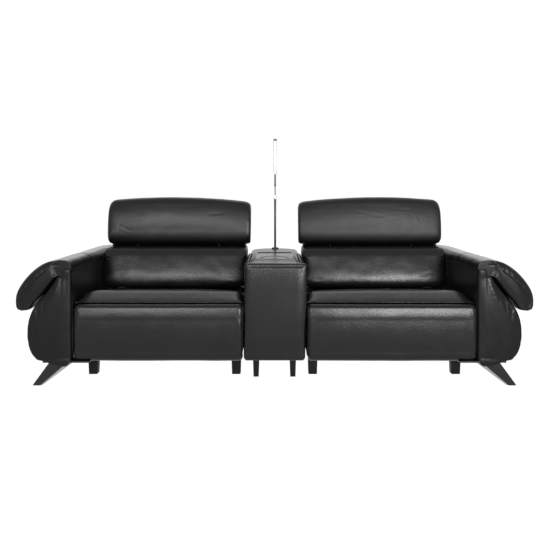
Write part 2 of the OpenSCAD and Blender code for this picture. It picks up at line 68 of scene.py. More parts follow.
# Corners closer than a weld are merged, and a cut goes through a corner that is as near as
# CUT_NEAR, in metres. The fine ones are for welts, CAD nodes and the console's block.
WELD = 0.01 * MM
FINE_WELD = 0.001 * MM
CUT_NEAR = 1e-6
FINE_CUT_NEAR = 1e-7

# The photograph's frame in pixels: its width, its focal length, its horizon and the sofa's middle
PHOTO_WIDTH = 555
FOCAL = 640
HORIZON = 193
MIDDLE = 274.5
SENSOR_WIDTH = 36
CAMERA_PLACE = (0, -3.78, 0.99)

# Softboxes: place, aim, width, height and radiance
LIGHTS = {
    "right": ((1.65, -4.6, 1.07), (0.5, 0, 0.5), 1.7, 0.75, 42.0),
    "left": ((-1.4, -4.6, 1.38), (-0.5, 0, 0.5), 2.0, 0.95, 15.0),
    "middle": ((0.0, -5.2, 1.8), (0, 0, 0.5), 1.6, 1.0, 3.5),
    "rear": ((0.0, 2.4, 4.0), (0, 0, 0.45), 4.5, 1.6, 1.3),
    "left_arm_top": ((-2.0, 3.0, 1.3), (-1.1, 0, 0.64), 0.9, 0.8, 1.1),
    "right_arm_top": ((2.0, 3.0, 1.3), (1.1, 0, 0.64), 0.9, 0.8, 1.1),
}

# Strength of the white surroundings, as light on the sofa and as the eye sees them
WORLD_LIGHT, WORLD_SEEN = 0.35, 1.0

# Half the floor's width, its colour, its glow, and the glow's share of what the eye sees
FLOOR_HALF = 30
FLOOR_COLOUR = (0.85, 0.85, 0.85, 1)
FLOOR_GLOW = 1.305
FLOOR_GLOW_SHARE = 0.75

# Middle of a seat, and the sides that the seats are on
UNIT_X = 600
SIDES = (("left", -1), ("right", 1))

# Hinge axes of the footrests and headrests as (y, z), and the radius of a footrest's top edge
FOOT_AXIS = (-474, 384)
FOOT_ROLL = 34
HEAD_AXIS = (200, 728)

# The roll along the top of an arm, the arm's inner face, and half its length
ROLL_X, ROLL_Z, ROLL_R = 1085, 601, 44
ARM_IN = 1041
ARM_HALF = 512

# Box of the console's leather body
CONSOLE_HALF = 158
CONSOLE_FRONT, CONSOLE_REAR = -508, 402
CONSOLE_LOW, CONSOLE_TOP = 130, 630

# The seam that crosses arms and wings
CROSS_Y = -124

# Cloth under pressure: frames, quality, mass, stiffness, pressure, the steps of its hold, and how
# far the form is drawn in at the start
CLOTH_FRAMES = 20
CLOTH_QUALITY = 4
CLOTH_MASS = 0.5
STRETCH_STIFFNESS = 20
SHEAR_STIFFNESS = 10
BENDING_STIFFNESS = 2
PRESSURE = 4.0
HOLD_STEPS = 10
SLACK = 3.0

# Steps of a cushion's rounded end, and of its straight length
END_STEPS = 7
LENGTH_STEPS = 13

# A pressed seam reaches this many of its widths to each side. Its lip peaks at LIP_AT widths.
SEAM_REACH = 2.5
LIP_AT = 1.3

# Vertices that are measured against a seam at one time
BATCH = 1500


def make_camera():
    data = bpy.data.cameras.new("camera")
    data.sensor_width = SENSOR_WIDTH
    data.lens = data.sensor_width * FOCAL / PHOTO_WIDTH
    data.shift_x = (PHOTO_WIDTH / 2 - MIDDLE) / PHOTO_WIDTH
    data.shift_y = (HORIZON - PHOTO_WIDTH / 2) / PHOTO_WIDTH
    camera = bpy.data.objects.new("camera", data)
    camera.location = CAMERA_PLACE
    camera.rotation_euler = (math.radians(90), 0, 0)
    scene.collection.objects.link(camera)
    scene.camera = camera


class Wire:
    """A value in a material's node tree. Arithmetic on it adds Math nodes."""

    def __init__(self, finish, socket):
        self.finish, self.socket = finish, socket

    def math(self, operation, first, second):
        return self.finish.node("Math", {"operation": operation}, {0: first, 1: second})

    def __add__(self, other):
        return self.math("ADD", self, other)

    def __sub__(self, other):
        return self.math("SUBTRACT", self, other)

    def __rsub__(self, other):
        return self.math("SUBTRACT", other, self)

    def __mul__(self, other):
        return self.math("MULTIPLY", self, other)

    __radd__ = __add__
    __rmul__ = __mul__


class Finish:
    """A material: its tree, its shader, and the nodes that feed it.

    Scales of noise and cells are counts in a metre. Distances of a bump are in metres.
    """

    def __init__(self, name, **constants):
        self.material = bpy.data.materials.new(name)
        self.material.use_nodes = True
        self.tree = self.material.node_tree
        self.shader = self.tree.nodes["Principled BSDF"]
        for name, value in constants.items():
            self.shader.inputs[name.replace("_", " ")].default_value = value

    def node(self, kind, settings=(), inputs=(), out=0):
        made = self.tree.nodes.new("ShaderNode" + kind)
        for key, value in dict(settings).items():
            setattr(made, key, value)
        for key, value in dict(inputs).items():
            self.join(value, made.inputs[key])
        return Wire(self, made.outputs[out])

    def join(self, value, socket):
        if isinstance(value, Wire):
            self.tree.links.new(value.socket, socket)
        else:
            socket.default_value = value

    def feed(self, name, value):
        self.join(value, self.shader.inputs[name])

    def place(self):
        return self.node("TexCoord", out="Object")

    def scaled(self, place, factors):
        return self.node("Mapping", inputs={"Vector": place, "Scale": factors})

    def noise(self, place, scale, detail=2.0, distortion=0.0):
        return self.node("TexNoise", inputs={"Vector": place, "Scale": scale, "Detail": detail,
                                             "Distortion": distortion}, out="Fac")

    def cells(self, place, scale, feature="F1"):
        return self.node("TexVoronoi", {"feature": feature}, {"Vector": place, "Scale": scale},
                         out="Distance")

    def between(self, value, low, high, new_low=0.0, new_high=1.0):
        return self.node("MapRange", {"interpolation_type": "SMOOTHSTEP"},
                         {"Value": value, "From Min": low, "From Max": high,
                          "To Min": new_low, "To Max": new_high})

    def colour(self, factor, low, high):
        return self.node("Mix", {"data_type": "RGBA"},
                         {0: factor, 6: (*low, 1), 7: (*high, 1)}, out=2)

    def bump(self, height, distance, strength=1.0, normal=None):
        inputs = {"Height": height, "Distance": distance, "Strength": strength}
        if normal is not None:
            inputs["Normal"] = normal
        return self.node("Bump", inputs=inputs)


def leather(name, dark=(0.002, 0.002, 0.0022), light=(0.005, 0.005, 0.0053), rough=0.27,
            gloss=0.25):
    """Pebbled black leather: cells of grain, mottle, fine pores, faint creases and cloudy wear."""
    f = Finish(name)
    f.shader.inputs["Specular IOR Level"].default_value = gloss
    place = f.place()
    bend = f.node("TexNoise", inputs={"Vector": place, "Scale": 60.0, "Detail": 1.0}, out="Color")
    bent = f.node("VectorMath", {"operation": "MULTIPLY_ADD"},
                  {0: bend, 1: (0.006, 0.006, 0.006), 2: place})
    pebbles = f.cells(bent, 210.0, "SMOOTH_F1")
    pores = f.noise(place, 1100.0, 2.0)
    clouds = f.noise(place, 7.0, 3.0)
    creases = f.between(f.cells(bent, 46.0, "DISTANCE_TO_EDGE"), 0.0, 0.09)
    f.feed("Base Color", f.colour(clouds, dark, light))
    mottle = f.noise(place, 150.0, 2.0)
    f.feed("Roughness", rough - 0.08 + 0.1 * clouds + 0.06 * mottle)
    grain = f.bump(pebbles, -0.0005, 0.35)
    mottled = f.bump(mottle, 0.0006, 0.3, grain)
    pored = f.bump(pores, 0.00012, 0.4, mottled)
    f.feed("Normal", f.bump(creases, 0.0003, 0.3, pored))
    return f.material


def thread():
    """Matt black thread with a fine twist"""
    f = Finish("stitching_thread", Roughness=0.6)
    twist = f.noise(f.place(), 2500.0)
    f.feed("Base Color", f.colour(twist, (0.012, 0.012, 0.012), (0.03, 0.03, 0.031)))
    f.feed("Normal", f.bump(twist, 0.0002))
    return f.material


def painted_steel(name, dark, light, rough, gloss):
    """Steel under paint or dark plating, with a faint orange peel"""
    f = Finish(name)
    f.shader.inputs["Specular IOR Level"].default_value = gloss
    place = f.place()
    clouds = f.noise(place, 9.0, 4.0)
    orange_peel = f.noise(place, 420.0, 1.0)
    f.feed("Base Color", f.colour(clouds, dark, light))
    f.feed("Roughness", rough + 0.12 * clouds)
    f.feed("Normal", f.bump(orange_peel, 0.0002, 0.4))
    return f.material


def brushed_metal(name, dark, light, rough, stretch):
    """Bare metal with fine lines along one way and a few smears"""
    f = Finish(name, Metallic=1.0)
    place = f.place()
    lines = f.noise(f.scaled(place, stretch), 40.0, 3.0)
    smears = f.noise(place, 14.0, 3.0)
    f.feed("Base Color", f.colour(lines, dark, light))
    f.feed("Roughness", rough + 0.16 * smears)
    f.feed("Normal", f.bump(lines, 0.00008, 0.5))
    return f.material


def plywood():
    """Face veneer with long grain, and dark glue lines between the plies."""
    f = Finish("birch_plywood")
    place = f.place()
    grain = f.noise(f.scaled(place, (3.0, 60.0, 60.0)), 3.0, 5.0, 0.6)
    plies = f.node("TexWave", {"wave_type": "BANDS", "bands_direction": "DIAGONAL"},
                   {"Vector": place, "Scale": 130.0, "Distortion": 0.6}, out="Fac")
    face = f.colour(grain, (0.32, 0.2, 0.1), (0.6, 0.44, 0.27))
    glue_line = f.between(plies, 0.0, 0.16, 0.35, 0.0)
    glued = f.node("Mix", {"data_type": "RGBA"},
                   {0: glue_line, 6: face, 7: (0.1, 0.06, 0.03, 1)}, out=2)
    f.feed("Base Color", glued)
    f.feed("Roughness", 0.55 + 0.2 * grain)
    f.feed("Normal", f.bump(grain, 0.0004, 0.5))
    return f.material


def moulded_plastic(name, dark, light, rough, gloss=0.5):
    """Dark plastic or stained board with a fine even texture"""
    f = Finish(name)
    f.shader.inputs["Specular IOR Level"].default_value = gloss
    place = f.place()
    texture = f.cells(place, 900.0)
    clouds = f.noise(place, 12.0, 3.0)
    f.feed("Base Color", f.colour(clouds, dark, light))
    f.feed("Roughness", rough + 0.12 * clouds)
    f.feed("Normal", f.bump(texture, 0.0001, 0.6))
    return f.material


def opal():
    """White diffuser of the lamp, faintly lit"""
    f = Finish("opal_diffuser")
    f.shader.inputs["Emission Strength"].default_value = 0.35
    clouds = f.noise(f.place(), 30.0, 2.0)
    f.feed("Base Color", f.colour(clouds, (0.86, 0.86, 0.85), (0.93, 0.93, 0.92)))
    f.feed("Emission Color", f.colour(clouds, (0.9, 0.9, 0.9), (1.0, 1.0, 1.0)))
    f.feed("Roughness", 0.3 + 0.1 * clouds)
    return f.material


def felt():
    """Black felt and lining cloth"""
    f = Finish("black_felt", Roughness=0.9)
    f.shader.inputs["Sheen Weight"].default_value = 0.1
    f.shader.inputs["Specular IOR Level"].default_value = 0.1
    fibres = f.noise(f.place(), 900.0, 4.0, 1.0)
    f.feed("Base Color", f.colour(fibres, (0.012, 0.012, 0.013), (0.04, 0.04, 0.042)))
    f.feed("Normal", f.bump(fibres, 0.0006, 0.8))
    return f.material


def make_light(name, place, aim, width, height, radiance):
    """A softbox that glows with the given radiance, turned towards aim"""
    data = bpy.data.lights.new(name, "AREA")
    data.shape = "RECTANGLE"
    data.size, data.size_y = width, height
    data.energy = radiance * math.pi * width * height
    light = bpy.data.objects.new(name, data)
    light.location = place
    light.rotation_euler = (Vector(aim) - Vector(place)).to_track_quat("-Z", "Y").to_euler()
    scene.collection.objects.link(light)


def seen_by_eye(tree):
    """1 for what the camera, a reflection or a clear surface sees, and 0 for scattered light"""
    path = tree.nodes.new("ShaderNodeLightPath")
    total = path.outputs["Is Camera Ray"]
    for name in ("Is Glossy Ray", "Is Transmission Ray"):
        either = tree.nodes.new("ShaderNodeMath")
        either.operation = "MAXIMUM"
        tree.links.new(total, either.inputs[0])
        tree.links.new(path.outputs[name], either.inputs[1])
        total = either.outputs[0]
    return total


def scaled_to(tree, socket, low, high):
    """A value from 0 to 1, spread from low to high"""
    spread = tree.nodes.new("ShaderNodeMapRange")
    spread.inputs["To Min"].default_value = low
    spread.inputs["To Max"].default_value = high
    tree.links.new(socket, spread.inputs["Value"])
    return spread.outputs[0]


def make_world():
    """White surroundings, dimmer as a source of scattered light"""
    world = bpy.data.worlds.new("studio")
    scene.world = world
    world.use_nodes = True
    tree = world.node_tree
    background = tree.nodes["Background"]
    background.inputs["Color"].default_value = (1, 1, 1, 1)
    strength = scaled_to(tree, seen_by_eye(tree), WORLD_LIGHT, WORLD_SEEN)
    tree.links.new(strength, background.inputs["Strength"])


def make_floor():
    """Pale floor that glows to white for the eye and keeps the sofa's shadow"""
    bm = bmesh.new()
    bmesh.ops.create_grid(bm, x_segments=1, y_segments=1, size=FLOOR_HALF)
    mesh = bpy.data.meshes.new("floor")
    bm.to_mesh(mesh)
    floor = bpy.data.objects.new("floor", mesh)
    scene.collection.objects.link(floor)
    material = bpy.data.materials.new("pale_floor")
    material.use_nodes = True
    tree = material.node_tree
    tree.nodes.clear()
    matt = tree.nodes.new("ShaderNodeBsdfDiffuse")
    matt.inputs["Color"].default_value = FLOOR_COLOUR
    glow = tree.nodes.new("ShaderNodeEmission")
    glow.inputs["Strength"].default_value = FLOOR_GLOW
    mix = tree.nodes.new("ShaderNodeMixShader")
    output = tree.nodes.new("ShaderNodeOutputMaterial")
    tree.links.new(scaled_to(tree, seen_by_eye(tree), 0.0, FLOOR_GLOW_SHARE), mix.inputs[0])
    tree.links.new(matt.outputs[0], mix.inputs[1])
    tree.links.new(glow.outputs[0], mix.inputs[2])
    tree.links.new(mix.outputs[0], output.inputs["Surface"])
    mesh.materials.append(material)


def spline(points, per_span, closed=True):
    """Points along a smooth curve through the given ones"""
    p = np.array(points, float)
    n = len(p)
    pick = (lambda i: p[i % n]) if closed else (lambda i: p[min(max(i, 0), n - 1)])
    made = []
    for i in range(n if closed else n - 1):
        a, b, c, d = (pick(i + k) for k in (-1, 0, 1, 2))
        for j in range(per_span):
            t = j / per_span
            made.append(0.5 * (2 * b + (c - a) * t + (2 * a - 5 * b + 4 * c - d) * t * t
                               + (3 * b - a - 3 * c + d) * t ** 3))
    if not closed:
        made.append(p[-1])
    return np.array(made)


def ramp(value, low, high):
    """0 below low, 1 above high, and a smooth rise between them"""
    t = np.clip((value - low) / (high - low), 0, 1)
    return t * t * (3 - 2 * t)


def make_object(name, bm):
    """A smooth-shaded object of a bmesh, which is freed"""
    mesh = bpy.data.meshes.new(name)
    bm.to_mesh(mesh)
    bm.free()
    mesh.shade_smooth()
    obj = bpy.data.objects.new(name, mesh)
    scene.collection.objects.link(obj)
    return obj


def inward(outline):
    """Direction into a closed outline at each of its points"""
    along = np.roll(outline, -1, 0) - np.roll(outline, 1, 0)
    side = np.stack([along[:, 1], -along[:, 0]], 1)
    side /= np.linalg.norm(side, axis=1)[:, None]
    a, b = outline.T
    area = np.sum(a * np.roll(b, -1) - np.roll(a, -1) * b)
    return side * (-1 if area > 0 else 1)


def cushion(points, half, draw, depth, crown=0, lean=(0, 1), peak=0, along="X", middle=0,
            per_span=4):
    """Closed form of a cushion, in millimetres: an outline carried along X or Y.

    draw(a, b, end) is how far a point of the outline moves inwards at an end, -1 or 1, over the
    last depth of the length. The crown rises along lean, most at peak. The wrapped grid is welded.
    """
    outline = spline(points, per_span)
    low, high = outline.min(0), outline.max(0)
    centre, size = (low + high) / 2, (high - low) / 2
    lean = np.array(lean, float)
    share = np.maximum(0, (outline - centre) @ lean / abs(size @ lean))
    inner = inward(outline)
    drawn = {end: np.array([draw(a, b, end) for a, b in outline]) for end in (-1, 1)}
    turns = np.linspace(0, math.pi / 2, END_STEPS)[:-1]
    ends = [(half - depth * (1 - math.cos(t)), 1 - math.sin(t)) for t in turns]
    straight = [(s, 0) for s in np.linspace(depth - half, half - depth, LENGTH_STEPS)]
    rows = [(-s, k) for s, k in ends] + straight + ends[::-1]
    n, m = len(outline), len(rows) - 1
    bm = bmesh.new()
    bmesh.ops.create_grid(bm, x_segments=n, y_segments=m, size=0.5)
    for v in bm.verts:
        i = round((v.co.x + 0.5) * n) % n
        s, k = rows[round((v.co.y + 0.5) * m)]
        lift = crown * (1 - ((s / half - peak) / (1 + abs(peak))) ** 2) * share[i]
        a, b = outline[i] + inner[i] * drawn[-1 if s < 0 else 1][i] * k + lean * lift
        v.co = Vector((s + middle, a, b) if along == "X" else (a, s + middle, b)) * MM
    bmesh.ops.remove_doubles(bm, verts=bm.verts, dist=WELD)
    bmesh.ops.holes_fill(bm, edges=[e for e in bm.edges if e.is_boundary])
    bmesh.ops.recalc_face_normals(bm, faces=bm.faces)
    return bm


def box(low, high):
    """Block between two corners, in millimetres"""
    bm = bmesh.new()
    size = Vector(high) - Vector(low)
    middle = (Vector(high) + Vector(low)) / 2
    bmesh.ops.create_cube(bm, size=1, matrix=Matrix.Translation(middle * MM)
                          @ Matrix.Diagonal((*(size * MM), 1)))
    return bm


def rod(bm, start, end, radius, sides):
    """Round rod between two points, in millimetres"""
    start, end = Vector(start) * MM, Vector(end) * MM
    turn = (end - start).to_track_quat("Z", "Y").to_matrix().to_4x4()
    bmesh.ops.create_cone(bm, cap_ends=True, segments=sides, radius1=radius * MM,
                          radius2=radius * MM, depth=(end - start).length,
                          matrix=Matrix.Translation((start + end) / 2) @ turn)


def sharp_edges(bm, angle=30):
    """Edges whose faces meet at more than the angle, in degrees"""
    return [e for e in bm.edges if len(e.link_faces) == 2
            and e.calc_face_angle(0) > math.radians(angle)]


def bevel(bm, width, segments=3, edges=None):
    """Rounds the given edges, or else the sharp ones"""
    bmesh.ops.bevel(bm, geom=edges if edges is not None else sharp_edges(bm), offset=width * MM,
                    offset_type="OFFSET", segments=segments, profile=0.5, affect="EDGES",
                    material=-1, clamp_overlap=True)


def settle(obj):
    """Applies an object's modifiers to its mesh, and gives the object back"""
    graph = bpy.context.evaluated_depsgraph_get()
    mesh = bpy.data.meshes.new_from_object(obj.evaluated_get(graph))
    obj.modifiers.clear()
    old, obj.data = obj.data, mesh
    bpy.data.meshes.remove(old)
    mesh.name = obj.name
    mesh.shade_smooth()
    return obj


def even(obj, voxel, rounds=5):
    """Even mesh of a closed form, smoothed over its facets. Forms that overlap become one."""
    modifier = obj.modifiers.new("even", "REMESH")
    modifier.mode = "VOXEL"
    modifier.voxel_size = voxel * MM
    smooth = obj.modifiers.new("smooth", "SMOOTH")
    smooth.factor = 0.5
    smooth.iterations = rounds
    return settle(obj)


def joined(name, parts):
    """One bmesh from several, for a form that is made of overlapping ones"""
    whole = bmesh.new()
    for part in parts:
        mesh = bpy.data.meshes.new(name)
        part.to_mesh(mesh)
        part.free()
        whole.from_mesh(mesh)
        bpy.data.meshes.remove(mesh)
    return whole


def places(obj):
    """Places of an object's vertices, in metres"""
    co = np.empty(len(obj.data.vertices) * 3)
    obj.data.vertices.foreach_get("co", co)
    return co.reshape(-1, 3)


def directions(obj):
    """Outward directions at an object's vertices"""
    normals = np.empty(len(obj.data.vertices) * 3)
    obj.data.vertex_normals.foreach_get("vector", normals)
    return normals.reshape(-1, 3)


def move_to(obj, co):
    obj.data.vertices.foreach_set("co", co.ravel())
    obj.data.update()


def inflate(obj, held, cap):
    """Swells a form as cloth under pressure, starting a little smaller.

    held gives the hold of each place, from 0 to 1, as at a seam or against a board. No point ends
    more than about cap millimetres from where it was.
    """
    start = places(obj)
    hold = np.clip(held(*(start / MM).T), 0, 1)
    move_to(obj, start - directions(obj) * (SLACK * MM * (1 - hold))[:, None])
    group = obj.vertex_groups.new(name="held")
    level = np.round(hold * HOLD_STEPS).astype(int)
    for k in range(1, HOLD_STEPS + 1):
        group.add(np.flatnonzero(level == k).tolist(), k / HOLD_STEPS, "REPLACE")
    modifier = obj.modifiers.new("cloth", "CLOTH")
    cloth = modifier.settings
    cloth.vertex_group_mass = group.name
    cloth.quality = CLOTH_QUALITY
    cloth.mass = CLOTH_MASS
    cloth.tension_stiffness = cloth.compression_stiffness = STRETCH_STIFFNESS
    cloth.shear_stiffness = SHEAR_STIFFNESS
    cloth.bending_stiffness = BENDING_STIFFNESS
    cloth.use_pressure = True
    cloth.uniform_pressure_force = PRESSURE
    cloth.effector_weights.gravity = 0
    modifier.point_cache.frame_start, modifier.point_cache.frame_end = 1, CLOTH_FRAMES
    for number in range(1, CLOTH_FRAMES + 1):
        scene.frame_set(number)
    settle(obj)
    scene.frame_set(1)
    obj.vertex_groups.clear()
    shift = places(obj) - start
    length = np.linalg.norm(shift, axis=1) + 1e-9
    limit = cap * MM
    move_to(obj, start + shift * (limit * np.tanh(length / limit) / length)[:, None])


def finer(obj):
    """Divides each face of an object once more"""
    modifier = obj.modifiers.new("fine", "SUBSURF")
    modifier.levels = modifier.render_levels = 1
    settle(obj)


def copied(obj, name, mirror=False, shift=0):
    """The same form again, or its mirror image for the other side of the sofa"""
    bm = bmesh.new()
    bm.from_mesh(obj.data)
    bmesh.ops.translate(bm, vec=(shift * MM, 0, 0), verts=bm.verts)
    if mirror:
        bmesh.ops.scale(bm, vec=(-1, 1, 1), verts=bm.verts)
        bmesh.ops.reverse_faces(bm, faces=bm.faces)
    return make_object(name, bm)


class Line:
    """A run of points laid on leather, with the outward direction at each"""

    def __init__(self, points, normals, closed):
        self.points, self.normals, self.closed = points, normals, closed

    def lifted(self, height):
        """The points raised off the surface"""
        return self.points + self.normals * (height * MM)

    def tangents(self):
        if self.closed:
            t = np.roll(self.points, -1, 0) - np.roll(self.points, 1, 0)
        else:
            t = np.gradient(self.points, axis=0)
        return t / (np.linalg.norm(t, axis=1) + 1e-12)[:, None]

    def beside(self, distance):
        """The same run moved sideways over the surface"""
        side = np.cross(self.normals, self.tangents())
        return Line(self.points + side * (distance * MM), self.normals, self.closed)


class Leather:
    """The skin of one piece, with the seams and creases that are worked into it.

    Places are given for the right side of the sofa, and side -1 mirrors them.
    """

    def __init__(self, obj, side=1, seed=0):
        self.obj, self.side = obj, side
        self.rng = random.Random(seed)
        self.co, self.out = places(obj), directions(obj)
        self.lift = np.zeros(len(self.co))
        self.tree = BVHTree.FromPolygons([v.co for v in obj.data.vertices],
                                         [p.vertices for p in obj.data.polygons])

    def line(self, points, closed=False, step=4.0, per_span=6):
        """A smooth run through places in millimetres, laid onto the skin in steps"""
        path = spline(points, per_span, closed) * MM * [self.side, 1, 1]
        if closed:
            path = np.vstack([path, path[:1]])
        lengths = np.append(0, np.cumsum(np.linalg.norm(np.diff(path, axis=0), axis=1)))
        marks = np.linspace(0, lengths[-1], max(3, int(lengths[-1] / (step * MM))) + 1)
        if closed:
            marks = marks[:-1]
        spots = np.array([np.interp(marks, lengths, path[:, k]) for k in range(3)]).T
        found = [self.tree.find_nearest(Vector(p)) for p in spots]
        p, n = np.array([f[0] for f in found]), np.array([f[1] for f in found])
        for _ in range(2):
            for rows in (p, n):
                if closed:
                    rows[:] = (np.roll(rows, 1, 0) + 2 * rows + np.roll(rows, -1, 0)) / 4
                else:
                    rows[1:-1] = (rows[:-2] + 2 * rows[1:-1] + rows[2:]) / 4
        n /= np.linalg.norm(n, axis=1)[:, None]
        return Line(p, n, closed)

    def press(self, line, width, depth, fade=False, lip=0.0):
        """Sinks the skin along a line, with raised lips beside it. fade tapers it to its ends."""
        reach = width * MM * SEAM_REACH
        inside = (self.co > line.points.min(0) - reach) & (self.co < line.points.max(0) + reach)
        near = np.flatnonzero(np.all(inside, axis=1))
        last = len(line.points) - 1
        for part in np.array_split(near, len(near) // BATCH + 1):
            gap = np.linalg.norm(self.co[part][:, None] - line.points[None], axis=2)
            i, r = gap.argmin(1), gap.min(1) / (width * MM)
            facing = np.sum(self.out[part] * line.normals[i], axis=1) > -0.2
            share = np.sin(np.pi * i / last) if fade else 1.0
            raised = lip * np.exp(-4 * (r - LIP_AT) ** 2)
            profile = np.where(r < SEAM_REACH, raised - np.exp(-2 * r * r), 0)
            self.lift[part] += profile * facing * share * depth * MM
        return line

    def swell(self, size, depth, seed=0):
        """Low uneven swells of the foam, about size across"""
        shift = Vector((seed * 7.3 + self.side, seed * 3.1, seed * 5.7))
        spots = (self.co / (size * MM)).tolist()
        self.lift += depth * MM * np.array([noise.noise(Vector(p) + shift) for p in spots])

    def crease(self, start, end, width=5, depth=1.5, waver=3.0):
        """One wrinkle between two places, wavering a little on its way"""
        start, end = np.array(start, float), np.array(end, float)
        path = [start + (end - start) * t + [self.rng.uniform(-waver, waver) for _ in range(3)]
                for t in np.linspace(0, 1, 4)]
        path[0], path[-1] = start, end
        self.press(self.line(path), width, depth, fade=True, lip=0.5)

    def gathers(self, line, every, length, depth, away=1, first=0.0, last=1.0, slant=0.0):
        """Short puckers that start at a seam and run away from it"""
        count = len(line.points) - 1
        spacing = max(1, round(every / (np.linalg.norm(np.diff(line.points[:2], axis=0)) / MM)))
        side = np.cross(line.normals, line.tangents()) * away
        for i in range(int(count * first), int(count * last), spacing):
            i = min(count, max(0, i + self.rng.randint(-1, 1)))
            run = (side[i] + line.tangents()[i] * (slant + self.rng.uniform(-0.25, 0.25)))
            reach = length * self.rng.uniform(0.5, 1.0)
            flip = [self.side, 1, 1]
            start = line.points[i] / MM * flip
            self.crease(start, start + run * flip * reach, self.rng.uniform(3.4, 4.6),
                        depth * self.rng.uniform(0.6, 1.0), 0.8)

    def done(self):
        """Moves the skin by all that was pressed, creased and swelled"""
        move_to(self.obj, self.co + self.out * self.lift[:, None])


def piping(name, lines, radius, sink=0.0):
    """Welts: round cords sewn into seams, a little sunk between the panels"""
    curve = bpy.data.curves.new(name, "CURVE")
    curve.dimensions = "3D"
    curve.bevel_depth = radius * MM
    curve.bevel_resolution = 2
    curve.use_fill_caps = True
    for line in lines:
        run = curve.splines.new("POLY")
        run.points.add(len(line.points) - 1)
        run.use_cyclic_u = line.closed
        for point, place in zip(run.points, line.lifted(-sink)):
            point.co = (*place, 1)
    cord = bpy.data.objects.new(name, curve)
    scene.collection.objects.link(cord)
    graph = bpy.context.evaluated_depsgraph_get()
    mesh = bpy.data.meshes.new_from_object(cord.evaluated_get(graph))
    bpy.data.objects.remove(cord)
    bm = bmesh.new()
    bm.from_mesh(mesh)
    bpy.data.meshes.remove(mesh)
    bmesh.ops.remove_doubles(bm, verts=bm.verts, dist=FINE_WELD)
    bmesh.ops.recalc_face_normals(bm, faces=bm.faces)
    return make_object(name, bm)


def stitches(name, lines, pitch=7.0, length=2.6, radius=0.55):
    """Rows of separate stitches, each a small long grain that lies along its seam"""
    bm = bmesh.new()
    for line in lines:
        p = np.vstack([line.points, line.points[:1]]) if line.closed else line.points
        t, n = line.tangents(), line.normals
        lengths = np.append(0, np.cumsum(np.linalg.norm(np.diff(p, axis=0), axis=1)))
        for mark in np.arange(pitch / 2, lengths[-1] / MM, pitch) * MM:
            i = min(int(np.searchsorted(lengths, mark)), len(t) - 1)
            spot = Vector([np.interp(mark, lengths, p[:, k]) for k in range(3)])
            along, up = Vector(t[i]), Vector(n[i])
            across = up.cross(along)
            lie = Matrix((along * length, across * radius, up * radius)).transposed().to_4x4()
            bmesh.ops.create_icosphere(bm, subdivisions=1, radius=MM,
                                       matrix=Matrix.Translation(spot + up * 0.2 * MM) @ lie)
    return make_object(name, bm)


def dress(obj, material, slot, body):
    """Gives a piece its material and the body that it rides on. slot is not used."""
    obj.data.materials.clear()
    obj.data.materials.append(material)
    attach(obj, body)
    return obj


def upholster(obj, body, node, material=None):
    """A padded piece of leather that stands for a CAD node"""
    dress(obj, material or BLACK_LEATHER, "leather", body)
    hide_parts(node)


def trim(name, body, welts=(), rows=(), radius=2.6, sink=0.8):
    """The welts and stitch rows of one padded piece. radius and sink are those of its welts."""
    if welts:
        dress(piping(name + "_welts", welts, radius, sink), BLACK_LEATHER, "leather", body)
    if rows:
        dress(stitches(name + "_stitches", rows), THREAD, "leather", body)


BLACK_LEATHER = leather("black_leather")
ARM_LEATHER = leather("arm_black_leather", rough=0.31, gloss=0.17)
HEAD_LEATHERS = {"left": leather("soft_black_leather", rough=0.33),
                 "right": leather("creased_black_leather", rough=0.42)}
THREAD = thread()
BLACK_FELT = felt()


# Half the length of a seat cushion, its outline as (y, z), and how far its ends are rounded
SEAT_HALF = 432
SEAT_END = 84
SEAT_OUTLINE = [(100, 345), (100, 378), (86, 396), (-20, 409), (-140, 430), (-250, 452),
                (-320, 466), (-362, 470), (-392, 464), (-424, 450), (-450, 437.5), (-466, 428.5),
                (-477, 422.5), (-476, 419), (-466, 419), (-448, 414), (-437, 396), (-426, 370),
                (-418, 340), (-390, 328), (-160, 328), (60, 328)]


def make_seats():
    """Seat cushions: boxed, domed at the front, with a thin nose over the footrest's top edge"""

    def draw(y, z, end):
        return 8 + (34 if end > 0 else 20) * ramp(z, 400, 440) * ramp(y, -480, -400)

    def held(x, y, z):
        below, rear, dome = ramp(-z, -400, -350), ramp(y, 0, 60), ramp(-y, 300, 380)
        ends = ramp(abs(x - UNIT_X), SEAT_HALF - 50, SEAT_HALF - 10)
        return np.maximum.reduce([below, rear, dome, ends])

    base = make_object("seat", cushion(SEAT_OUTLINE, SEAT_HALF, draw, SEAT_END, crown=5,
                                       middle=UNIT_X))
    even(base, 8, 4)
    inflate(base, held, 5)
    finer(base)
    for side, sign in SIDES:
        obj = copied(base, side + "_seat_cushion_leather", sign < 0)
        skin = Leather(obj, sign, 11 + sign)
        skin.swell(160, 1.6, 1)
        skin.swell(60, 0.5, 2)
        welts, rows = [], []
        for end in (-1, 1):
            x = UNIT_X + end * (SEAT_HALF + 4)
            seam = skin.line([(x, 90, 374), (x, -60, 390), (x, -250, 414), (x, -380, 420),
                              (x, -440, 414), (x - end * 8, -470, 420)])
            welts.append(skin.press(seam, 4.5, 2.5))
            skin.gathers(seam, 34, 40, 0.4, away=-1)
            rows.append(seam.beside(-6))
        hem = skin.line([(UNIT_X - SEAT_HALF + 18, -470, 432), (UNIT_X, -472, 433),
                         (UNIT_X + SEAT_HALF - 18, -470, 432)])
        rows.append(hem)
        for x, y, dx, dy in ((230, -300, 60, 20), (930, -330, 70, -24), (960, -120, 50, 14)):
            skin.crease((x, y, 470), (x + dx, y + dy, 470), 11, 0.5, 5)
        skin.done()
        upholster(obj, side + "_seat", side + "_seat_cushion")
        trim(side + "_seat_cushion", side + "_seat", welts, rows)
    bpy.data.objects.remove(base)


